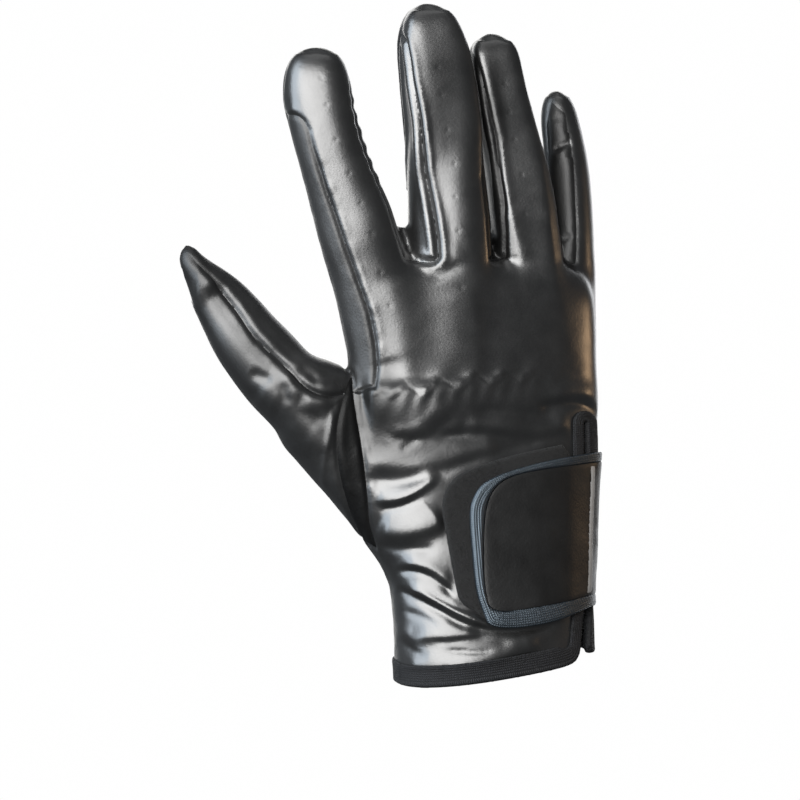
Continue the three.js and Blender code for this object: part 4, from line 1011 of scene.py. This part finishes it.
def node(nt, kind, inputs=None, **props):
    n = nt.nodes.new(kind)
    for k, v in props.items():
        setattr(n, k, v)
    for k, v in (inputs or {}).items():
        if isinstance(v, bpy.types.NodeSocket):
            nt.links.new(v, n.inputs[k])
        else:
            n.inputs[k].default_value = v
    return n


def ramp(nt, fac, stops, colour=False):
    n = nt.nodes.new("ShaderNodeValToRGB")
    el = n.color_ramp.elements
    while len(el) < len(stops):
        el.new(0.5)
    for e, (p, c) in zip(el, stops):
        e.position = p
        e.color = (c, c, c, 1) if not isinstance(c, tuple) else (*c, 1)
    nt.links.new(fac, n.inputs["Fac"])
    return n.outputs["Color"]


def maths(nt, op, a, b=0.0):
    n = node(nt, "ShaderNodeMath", {0: a, 1: b}, operation=op)
    return n.outputs[0]


def leather(name, dark, light, rough, grain=1.0, spread=0.07, specular=0.5, coat=0.0, coat_rough=0.2, dull=()):
    """Fine-grained leather: pebbled bump, slow changes of colour and gloss.

    dull: spots (x, z, half width, half height, share of the gloss that stays), in metres.
    """
    m, nt, bsdf, co = new_material(name)
    slow = node(nt, "ShaderNodeTexNoise", {"Vector": co, "Scale": 70.0, "Detail": 3.0, "Roughness": 0.55}).outputs[0]
    fine = node(nt, "ShaderNodeTexNoise", {"Vector": co, "Scale": 1500.0, "Detail": 3.0, "Roughness": 0.6}).outputs[0]
    warp = node(nt, "ShaderNodeTexNoise", {"Vector": co, "Scale": 500.0, "Detail": 2.0}).outputs[1]
    off = node(nt, "ShaderNodeVectorMath", {0: warp, 1: (0.5, 0.5, 0.5)}, operation="SUBTRACT").outputs[0]
    off = node(nt, "ShaderNodeVectorMath", {0: off, "Scale": 0.0009}, operation="SCALE").outputs[0]
    vec = node(nt, "ShaderNodeVectorMath", {0: co, 1: off}, operation="ADD").outputs[0]
    cell = node(nt, "ShaderNodeTexVoronoi", {"Vector": vec, "Scale": 1250.0}, feature="SMOOTH_F1").outputs["Distance"]
    big = node(nt, "ShaderNodeTexVoronoi", {"Vector": vec, "Scale": 420.0}, feature="F1").outputs["Distance"]
    h = maths(nt, "MULTIPLY", cell, -0.55)
    h = maths(nt, "ADD", h, maths(nt, "MULTIPLY", big, -0.25))
    h = maths(nt, "ADD", h, maths(nt, "MULTIPLY", fine, 0.45))
    bump = node(nt, "ShaderNodeBump", {"Height": h, "Strength": 0.34 * grain, "Distance": 0.00022})
    nt.links.new(bump.outputs[0], bsdf.inputs["Normal"])
    mix = maths(nt, "ADD", maths(nt, "MULTIPLY", slow, 0.75), maths(nt, "MULTIPLY", fine, 0.25))
    nt.links.new(ramp(nt, mix, [(0.3, dark), (0.7, light)]), bsdf.inputs["Base Color"])
    nt.links.new(ramp(nt, mix, [(0.32, rough - spread), (0.68, rough + spread)]), bsdf.inputs["Roughness"])
    bsdf.inputs["Specular IOR Level"].default_value = specular
    gloss = specular
    for x, z, wide, high, keep in dull:
        off = node(nt, "ShaderNodeVectorMath", {0: co, 1: (x, 0.0, z)}, operation="SUBTRACT").outputs[0]
        off = node(nt, "ShaderNodeVectorMath", {0: off, 1: (1 / wide, 0.0, 1 / high)}, operation="MULTIPLY").outputs[0]
        far = node(nt, "ShaderNodeVectorMath", {0: off}, operation="LENGTH").outputs["Value"]
        stays = node(nt, "ShaderNodeMapRange", {"Value": far, "From Min": 0.35, "From Max": 1.0, "To Min": keep, "To Max": 1.0})
        gloss = maths(nt, "MULTIPLY", stays.outputs[0], gloss)
    if dull:
        nt.links.new(gloss, bsdf.inputs["Specular IOR Level"])
    bsdf.inputs["Coat Weight"].default_value = coat
    bsdf.inputs["Coat Roughness"].default_value = coat_rough
    return m


def suede(name, dark, light, sheen=0.3):
    m, nt, bsdf, co = new_material(name)
    fine = node(nt, "ShaderNodeTexNoise", {"Vector": co, "Scale": 2600.0, "Detail": 4.0, "Roughness": 0.7}).outputs[0]
    slow = node(nt, "ShaderNodeTexNoise", {"Vector": co, "Scale": 160.0, "Detail": 3.0}).outputs[0]
    mix = maths(nt, "ADD", maths(nt, "MULTIPLY", slow, 0.5), maths(nt, "MULTIPLY", fine, 0.5))
    nt.links.new(ramp(nt, mix, [(0.35, dark), (0.65, light)]), bsdf.inputs["Base Color"])
    nt.links.new(ramp(nt, mix, [(0.3, 0.8), (0.7, 0.95)]), bsdf.inputs["Roughness"])
    bump = node(nt, "ShaderNodeBump", {"Height": fine, "Strength": 0.5, "Distance": 0.0003})
    nt.links.new(bump.outputs[0], bsdf.inputs["Normal"])
    bsdf.inputs["Sheen Weight"].default_value = sheen
    bsdf.inputs["Sheen Roughness"].default_value = 0.5
    bsdf.inputs["Specular IOR Level"].default_value = 0.3
    return m


def knit(name, dark, light, pitch, rough=0.75, bump_by=0.8, sheen=0.25, flat=1.0, specular=0.4):
    """Ribbed tape: rows of small slanted loops. The "tape" attribute runs along and across it, in mm."""
    m, nt, bsdf, co = new_material(name)
    at = node(nt, "ShaderNodeAttribute", attribute_name="tape").outputs["Vector"]
    xyz = node(nt, "ShaderNodeSeparateXYZ", {0: at})
    along, across = xyz.outputs[0], xyz.outputs[1]
    lean = maths(nt, "MULTIPLY", maths(nt, "ABSOLUTE", maths(nt, "SINE", maths(nt, "MULTIPLY", across, math.pi / pitch))), 0.5)
    a = maths(nt, "ABSOLUTE", maths(nt, "SINE", maths(nt, "MULTIPLY", maths(nt, "ADD", along, lean), math.pi / pitch)))
    b = maths(nt, "ABSOLUTE", maths(nt, "SINE", maths(nt, "MULTIPLY", across, math.pi / (pitch * flat))))
    fine = node(nt, "ShaderNodeTexNoise", {"Vector": co, "Scale": 3500.0, "Detail": 3.0, "Roughness": 0.7}).outputs[0]
    h = maths(nt, "ADD", maths(nt, "MULTIPLY", a, b), maths(nt, "MULTIPLY", fine, 0.35))
    nt.links.new(ramp(nt, h, [(0.15, dark), (0.95, light)]), bsdf.inputs["Base Color"])
    nt.links.new(ramp(nt, fine, [(0.3, rough - 0.1), (0.7, rough + 0.1)]), bsdf.inputs["Roughness"])
    bump = node(nt, "ShaderNodeBump", {"Height": h, "Strength": bump_by, "Distance": 0.0003})
    nt.links.new(bump.outputs[0], bsdf.inputs["Normal"])
    bsdf.inputs["Sheen Weight"].default_value = sheen
    bsdf.inputs["Sheen Roughness"].default_value = 0.4
    bsdf.inputs["Specular IOR Level"].default_value = specular
    return m


# duller where the back leather is gathered and rubbed, and along the ring finger's seam
SMOOTH = leather("smooth_leather_black", 0.0025, 0.0045, 0.33, 0.5, 0.05, 0.8, dull=[
    (-0.0475, 0.090, 0.012, 0.019, 0.42), (-0.0395, 0.075, 0.014, 0.009, 0.6), (-0.0015, 0.190, 0.0045, 0.024, 0.4)])
STRIP = leather("strip_leather_black", 0.0025, 0.0045, 0.35, 0.5, 0.05, 0.95)
THUMB_LEATHER = leather("thumb_leather_black", 0.0025, 0.0045, 0.42, 0.5, 0.05, 0.6, dull=[(-0.107, 0.138, 0.012, 0.013, 0.5)])
# painted shade: darker, less glossy leather on the fourchettes between middle, ring and little finger stands in for the
# shade the neighbouring fingers cast there
STRIP_PAINTED_SHADE = leather("strip_leather_painted_shade", 0.0020, 0.0038, 0.42, 0.7, 0.05, 0.26)
# painted shade: darker, less glossy leather on the thumb gusset stands in for the shade in its recess
GUSSET_PAINTED_SHADE = leather("gusset_leather_painted_shade", 0.0015, 0.003, 0.48, 0.9, 0.06, 0.11)
MATT = leather("matt_leather_black", 0.006, 0.010, 0.46, 1.0, 0.06, 0.42)
TABTOP = leather("tab_leather_black", 0.003, 0.005, 0.44, 0.9, 0.06, 0.22)
# painted highlight: pale grey leather along the tab's bend stands in for the highlight that falls there
BEND_PAINTED_HIGHLIGHT = leather("tab_leather_painted_bend_highlight", 0.13, 0.2, 0.5, 0.8, 0.06, 0.4)
BACK = suede("leather_inside", 0.014, 0.03)
TAPE = knit("edge_tape_black", (0.0011, 0.0012, 0.0015), (0.0046, 0.005, 0.0062), 0.75, sheen=0.0, specular=0.24)
BLUE = knit("tab_tape_blue_grey", (0.0006, 0.0009, 0.0015), (0.0018, 0.0029, 0.0045), 0.8, 0.45, 0.5, 0.0, specular=0.8)
next(n for n in BLUE.node_tree.nodes if n.type == "BSDF_PRINCIPLED").inputs["Specular Tint"].default_value = (0.72, 0.87, 1.0, 1.0)
PILE = suede("pile_black", 0.0010, 0.0034, 0.022)

# ------------------------------------------------------------- leather pieces
for k, name in enumerate(PANELS):
    mine = T[label == k]
    _, sub, used = compact(DV, mine)
    P, Q, part = shell(DV[used], IN_N[used], sub, 0.0, -WALL)
    outer = {7: THUMB_LEATHER, 8: THUMB_LEATHER, 2: MATT, 6: GUSSET_PAINTED_SHADE, 3: STRIP, 4: STRIP_PAINTED_SHADE, 5: STRIP_PAINTED_SHADE}.get(k, SMOOTH)
    add_piece(name + "_skin", P, Q, [outer, BACK], (part == 1).astype(int), node=name)

# ------------------------------------------------------------------ edge tape
OVER, UNDER = 0.95, 0.12  # how far the tape's two faces stand from the leather
tape_T = T[(X[T, col["tape"]] >= -1e-9).all(1)]
_, tape_T, used = compact(DV, tape_T)
tv, tn, te, tt = DV[used], PN[used], X[used, col["edge"]], X[used, col["tape"]]
n = len(tv)
E = np.concatenate([tape_T[:, [0, 1]], tape_T[:, [1, 2]], tape_T[:, [2, 0]]])
key, rev = E[:, 0].astype(np.int64) * n + E[:, 1], E[:, 1].astype(np.int64) * n + E[:, 0]
E = E[~np.isin(key, rev)]
lip = (te[E] < 0.3).all(1)
out_dir = np.zeros((n, 3))
d = tv[E[lip, 1]] - tv[E[lip, 0]]
for k in (0, 1):
    np.add.at(out_dir, E[lip, k], np.cross(d, tn[E[lip, k]]))
out_dir /= np.maximum(np.linalg.norm(out_dir, axis=1, keepdims=True), 1e-9)
end = np.clip(1 - tt / 0.9, 0, 1)  # the tape thins at its inner end
over = UNDER + 0.28 + (OVER - UNDER - 0.28) * np.sqrt(1 - end**2) + 0.05 * noise(tv, 2.2)
layers = [tv + tn * over[:, None], tv + tn * UNDER, tv - tn * (WALL + UNDER), tv - tn * (WALL + over)[:, None]]
P = np.concatenate(layers)
A, B, Cc, Dd = [k * n for k in range(4)]
tris = [tape_T + A, tape_T[:, ::-1] + B, tape_T + Cc, tape_T[:, ::-1] + Dd]
a, b = E[~lip].T
tris += [np.stack([b + A, a + A, a + B], 1), np.stack([b + A, a + B, b + B], 1), np.stack([b + Cc, a + Cc, a + Dd], 1), np.stack([b + Cc, a + Dd, b + Dd], 1)]
a, b = E[lip].T
lip_v = np.unique(E[lip])
where = np.full(n, -1)
where[lip_v] = np.arange(len(lip_v))
mid = tv[lip_v] - tn[lip_v] * WALL / 2
lip_over = over[lip_v][:, None]


def turn_rows(height, reach, first, last, rounds):
    """Rows round the lip from layer first to layer last."""
    global P
    rows = [first + lip_v]
    for j in range(1, rounds):
        phi = math.pi * j / rounds
        rows.append(len(P) + np.arange(len(lip_v)))
        P = np.concatenate([P, mid + tn[lip_v] * height * math.cos(phi) + out_dir[lip_v] * reach * math.sin(phi)])
    rows.append(last + lip_v)
    return rows


for rows, flip in ((turn_rows(WALL / 2 + lip_over, 0.85, A, Dd, 8), False), (turn_rows(WALL / 2 + UNDER, 0.12, B, Cc, 2), True)):
    for r0, r1 in zip(rows[:-1], rows[1:]):
        q = [np.stack([r0[where[b]], r0[where[a]], r1[where[a]]], 1), np.stack([r0[where[b]], r1[where[a]], r1[where[b]]], 1)]
        tris += [t[:, ::-1] for t in q] if flip else q
tape_tris = np.concatenate(tris)
# how far along the lip each point lies
nxt = dict(zip(E[lip, 0].tolist(), E[lip, 1].tolist()))
start = min(nxt)
order, v = [start], nxt[start]
while v != start and len(order) < len(nxt) + 1:
    order.append(v)
    v = nxt[v]
run = np.concatenate([[0], np.cumsum(np.linalg.norm(np.diff(tv[order], axis=0), axis=1))])
tree = kdtree.KDTree(len(order))
for i, v in enumerate(order):
    tree.insert(tv[v], i)
tree.balance()
along_of = np.zeros(len(P))
across_of = np.zeros(len(P))
for i, q in enumerate(P):
    _, j, d0 = tree.find(q)
    step_dir = tv[order[(j + 1) % len(order)]] - tv[order[j]]
    L0 = max(np.linalg.norm(step_dir), 1e-6)
    along_of[i] = run[j] + float(np.dot(q - tv[order[j]], step_dir) / L0)
    across_of[i] = d0
tape_co = np.stack([along_of, across_of, np.zeros(len(P))], 1)

add_piece("edge_tape", P, tape_tris, [TAPE], node="edge_binding", extra={"tape": tape_co}, sharp=70)

# ------------------------------------------------------- patch, tab, binding
HX0, HX1 = -34.0, 60.0
m = (plain_V[plain_T][:, :, 0] > HX0).all(1) & (plain_V[plain_T][:, :, 2] < 100).all(1) & (plain_V[plain_T][:, :, 1] < 15).all(1)
hv, ht, _ = compact(plain_V, plain_T[m])
for _ in range(3):
    hv, ht, _, added = refine(hv, ht, [], np.full(len(hv), 1.15))
hv = settle(hv, 2)
hu, hz = plane(hv)
HX = np.column_stack([hv, np.minimum(polygon(rounded(PATCH_EDGE, 2), hu, hz), 4 - hv[:, 1]),
                      np.minimum(polygon(rounded(TAB_OUTER, 2), hu, hz), 12 - hv[:, 1]), np.minimum(polygon(rounded(TAB_INNER, 2), hu, hz), 12 - hv[:, 1])])


def pick(HX, ht, c, sign=1, level=0.0):
    g = HX[:, c] - level
    g = np.where(np.abs(g) < 0.06, 0, g)
    HX2, T2, _, side = cut(HX, ht, g, [], 0.0, 0.0)
    T2 = T2[side == sign]
    used, inv = np.unique(T2, return_inverse=True)
    return HX2[used], inv.reshape(-1, 3)


# the patch
px_, pt = pick(HX, ht, 3)
px_, pt = pick(px_, pt, 3, 1, 0.0)
pv, pn = px_[:, :3], normal_at(px_[:, :3])
edge_in = np.clip(px_[:, 3], 0, 2)
top = 0.75 + 0.65 * np.sqrt(1 - (1 - np.clip(edge_in / 1.2, 0, 1)) ** 2) + 0.06 * noise(pv, 2.5)
P, Q, part = shell(pv, pn, pt, top, 0.3)
# short curled fibres all over its face
rng = np.random.default_rng(11)
fa, fb, fc = (pv + pn * top[:, None])[pt[:, 0]], (pv + pn * top[:, None])[pt[:, 1]], (pv + pn * top[:, None])[pt[:, 2]]
area = np.linalg.norm(np.cross(fb - fa, fc - fa), axis=1) / 2
tu, _ = plane((fa + fb + fc) / 3)
shown = area * np.where(tu < 2, 1.0, 0.25)
count = 16000
pickt = rng.choice(len(pt), count, p=shown / shown.sum())
r1, r2 = np.sqrt(rng.random(count)), rng.random(count)
root = fa[pickt] * (1 - r1)[:, None] + fb[pickt] * (r1 * (1 - r2))[:, None] + fc[pickt] * (r1 * r2)[:, None]
upn = pn[pt[pickt, 0]]
lean = rng.normal(size=(count, 3)) * 0.55
grow = upn + lean
grow /= np.linalg.norm(grow, axis=1, keepdims=True)
flat = np.cross(grow, rng.normal(size=(count, 3)))
flat /= np.linalg.norm(flat, axis=1, keepdims=True)
tall = rng.uniform(0.45, 0.95, count)[:, None]
wide = 0.055
bend = rng.normal(size=(count, 3)) * 0.25
hairs, hair_t = [], []
for t0 in (0.0, 0.55, 1.0):
    c = root - upn * 0.1 + grow * tall * t0 + bend * tall * t0 * t0
    w = wide * (1 - 0.75 * t0)
    hairs += [c - flat * w, c + flat * w]
H = np.stack(hairs, 1).reshape(-1, 3)
base = np.arange(count)[:, None] * 6 + len(P)
for q in ((0, 1, 3), (0, 3, 2), (2, 3, 5), (2, 5, 4)):
    hair_t.append(base + np.array(q)[None, :])
P = np.concatenate([P, H])
Q = np.concatenate([Q] + hair_t)
add_piece("pile_patch_face", P, Q, [PILE], node="pile_patch", sharp=60)

# the tab, in two heights: over the patch, and down on the leather beside it
def tab_floor(P3):
    u, _ = plane(P3)
    return 1.75 - 0.65 * step(u, 23, 30)


TAB_THICK = 1.15
tx, ttri = pick(HX, ht, 5)


def bend_at(z):
    return 30.9 + 0.9 * np.clip((z - 45) / 30, -1, 1)


for _ in range(3):
    tu_, tz_ = plane(tx)
    tx, ttri, _, added = refine(tx, ttri, [], np.where((np.abs(tu_ - bend_at(tz_)) < 2.2) & (tx[:, 1] < 1), 0.5, 9.0))
tvv, tnn = tx[:, :3], normal_at(tx[:, :3])
low_face = tab_floor(tvv)
ripple = 0.14 * noise(tvv, (9, 9, 12)) + 0.05 * noise(tvv + 9, 3.5)
rim = 1 - np.clip(tx[:, 5] / 1.3, 0, 1)
tu_, tz_ = plane(tvv)
ridge = 0.3 * bell(tu_ - bend_at(tz_), 0.75) * step(tz_, 25.5, 29) * (1 - step(tz_, 66, 70)) * step(-(tnn @ IN), -0.1, 0.2)
top_face = low_face + TAB_THICK + ripple - 0.15 * rim**2 + ridge
P, Q, part = shell(tvv, tnn, ttri, top_face, low_face + ripple)
# painted highlight: the faces along the tab's bend get the pale material in place of a highlight
on_bend = (np.abs(tu_ - bend_at(tz_)) < 0.72) & (tz_ > 26) & (tz_ < 69.5)
glossy = np.concatenate([on_bend[ttri].all(1) & ((tnn @ IN)[ttri] < 0).all(1), np.zeros(len(Q) - len(ttri), bool)])
add_piece("closure_tab_leather", P, Q, [TABTOP, BACK, BEND_PAINTED_HIGHLIGHT], np.where(glossy, 2, (part == 1).astype(int)), node="closure_tab")

bx, bt = pick(HX, ht, 4)
bx, bt = pick(bx, bt, 5, -1)
for _ in range(3):
    bx, bt, _, added = refine(bx, bt, [], np.full(len(bx), 0.75))
bv = settle(bx[:, :3], 1)
bn = normal_at(bv)
fo, fi = np.maximum(bx[:, 4], 0), np.maximum(-bx[:, 5], 0)
c = fo / np.maximum(fo + fi, 1e-6)
low_face = tab_floor(bv)
ripple = 0.14 * noise(bv, (9, 9, 12))
dome = np.sqrt(np.clip(1 - (2 * c - 1) ** 2, 0, 1))
bu, bz = plane(bv)
high = (1.0 - 0.4 * step(bu, 26, 36)) * (1 - 0.45 * step(bu, -1, 9))
ribs = (0.12 * (bell(c - 0.24, 0.11) + bell(c - 0.7, 0.11)) - 0.13 * bell(c - 0.47, 0.11)) * (1 - 0.6 * step(bu, -1, 9))
P, Q, part = shell(bv, bn, bt, low_face + 0.65 + ripple + high * dome + ribs, low_face + 0.6 + ripple - 0.6 * dome)
# how far along the binding: by the outline's own length
ring_p = rounded(TAB_OUTER, 2)
ring_s = np.concatenate([[0], np.cumsum(np.linalg.norm(np.diff(ring_p, axis=0), axis=1))])
best, run_b = np.full(len(bv), 1e9), np.zeros(len(bv))
for i in range(len(ring_p) - 1):
    dx, dy = ring_p[i + 1] - ring_p[i]
    L2 = dx * dx + dy * dy
    t0 = np.clip(((bu - ring_p[i, 0]) * dx + (bz - ring_p[i, 1]) * dy) / L2, 0, 1)
    dd = np.hypot(bu - ring_p[i, 0] - t0 * dx, bz - ring_p[i, 1] - t0 * dy)
    mm = dd < best
    best[mm], run_b[mm] = dd[mm], ring_s[i] + (t0 * math.sqrt(L2))[mm]
tc = np.stack([run_b, c * (fo + fi), np.zeros(len(bv))], 1)
add_piece("tab_binding_tape", P, Q, [BLUE], node="tab_binding", extra={"tape": np.concatenate([tc, tc])}, sharp=75)

# ----------------------------------------------------- floor, backdrop, light
def plain_material(name, colour, rough, scale):
    m, nt, bsdf, co = new_material(name)
    n1 = node(nt, "ShaderNodeTexNoise", {"Vector": co, "Scale": scale, "Detail": 2.0}).outputs[0]
    nt.links.new(ramp(nt, n1, [(0.0, colour * 0.985), (1.0, colour)]), bsdf.inputs["Base Color"])
    bsdf.inputs["Roughness"].default_value = rough
    bsdf.inputs["Specular IOR Level"].default_value = 0.2
    return m


bpy.ops.mesh.primitive_circle_add(vertices=96, radius=2.6, fill_type="NGON", location=(0, 0, -0.25))
floor = bpy.context.object
floor.name = "floor"
floor.data.materials.append(plain_material("floor_pale", 0.86, 0.9, 3.0))
bpy.ops.mesh.primitive_uv_sphere_add(segments=48, ring_count=24, radius=9.0, location=(0, 0, 0))
backdrop = bpy.context.object
backdrop.name = "backdrop"
bm = bpy.data.materials.new("backdrop_white")
bm.use_nodes = True
bnt = bm.node_tree
bnt.nodes.clear()
bo = bnt.nodes.new("ShaderNodeOutputMaterial")
be = bnt.nodes.new("ShaderNodeEmission")
be.inputs["Strength"].default_value = 1.0
bc = bnt.nodes.new("ShaderNodeTexCoord")
bn_ = node(bnt, "ShaderNodeTexNoise", {"Vector": bc.outputs["Object"], "Scale": 0.2, "Detail": 1.0}).outputs[0]
bnt.links.new(ramp(bnt, bn_, [(0.0, 0.995), (1.0, 1.0)]), be.inputs["Color"])
bnt.links.new(be.outputs[0], bo.inputs["Surface"])
backdrop.data.materials.append(bm)
for flag in ("visible_glossy", "visible_diffuse", "visible_shadow", "visible_transmission"):
    setattr(backdrop, flag, False)
for flag in ("visible_glossy", "visible_diffuse"):
    setattr(floor, flag, False)

TARGET = np.array([-0.03016, 0.01098, 0.0918])
VIEW = np.array([0.3420, 0.9397, 0.0])


def area_light(name, place, size, power, colour=(1, 1, 1), aim=(-0.02, 0.0, 0.10), spread=180):
    """A soft rectangular light at place, facing aim. size: across and up."""
    from mathutils import Vector
    data = bpy.data.lights.new(name, "AREA")
    data.shape = "RECTANGLE"
    data.size, data.size_y = size
    data.energy = power
    data.color = colour
    data.spread = math.radians(spread)
    ob = bpy.data.objects.new(name, data)
    ob.location = place
    way = Vector(aim) - Vector(place)
    ob.rotation_euler = way.to_track_quat("-Z", "Y").to_euler()
    bpy.context.scene.collection.objects.link(ob)
    ob.visible_camera = False
    return ob


def bearing(degrees, distance, up):
    """A place at so many degrees to the right of the camera, seen from the glove."""
    a = math.radians(degrees)
    back, right = -VIEW[:2], np.array([0.9397, -0.3420])
    d = back * math.cos(a) + right * math.sin(a)
    return (TARGET[0] + d[0] * distance, TARGET[1] + d[1] * distance, TARGET[2] + up)


area_light("window_front", bearing(-15, 2.2, 0.62), (2.1, 2.3), 200.0, (1.0, 0.995, 0.985))
area_light("window_left", bearing(-60, 1.8, 0.62), (1.25, 2.2), 80.0, (0.80, 0.90, 1.0))
area_light("flank_left", bearing(-128, 1.6, 0.4), (1.3, 1.8), 1.5, (0.82, 0.91, 1.0))
area_light("wall_right", bearing(104, 0.5, 0.036), (0.13, 0.085), 0.26, (1.0, 0.66, 0.38), aim=(-0.02, 0.0, 0.128))
area_light("rim_right", bearing(152, 1.9, 0.2), (0.6, 1.7), 9.0, (0.97, 0.98, 1.0))
area_light("top_soft", (0.0, -0.1, 1.9), (1.2, 1.2), 5.0, (1, 1, 1))
area_light("back_soft", bearing(188, 2.0, 0.5), (1.6, 1.6), 22.0, (1, 0.99, 0.97))

world = bpy.data.worlds.new("studio")
bpy.context.scene.world = world
world.use_nodes = True
world.node_tree.nodes["Background"].inputs["Color"].default_value = (0.9, 0.95, 1.0, 1)
world.node_tree.nodes["Background"].inputs["Strength"].default_value = 0.16

cam_data = bpy.data.cameras.new("camera")
cam = bpy.data.objects.new("camera", cam_data)
bpy.context.scene.collection.objects.link(cam)
cam_data.sensor_width = 36
cam_data.lens = 36 * 3.0 / 0.272
cam_data.clip_start, cam_data.clip_end = 0.05, 40
from mathutils import Vector

cam.location = Vector(TARGET - VIEW * 3.0)
cam.rotation_euler = Vector(VIEW).to_track_quat("-Z", "Y").to_euler()
bpy.context.scene.camera = cam
bpy.context.scene.view_settings.view_transform = "Standard"
bpy.context.scene.view_settings.look = "None"
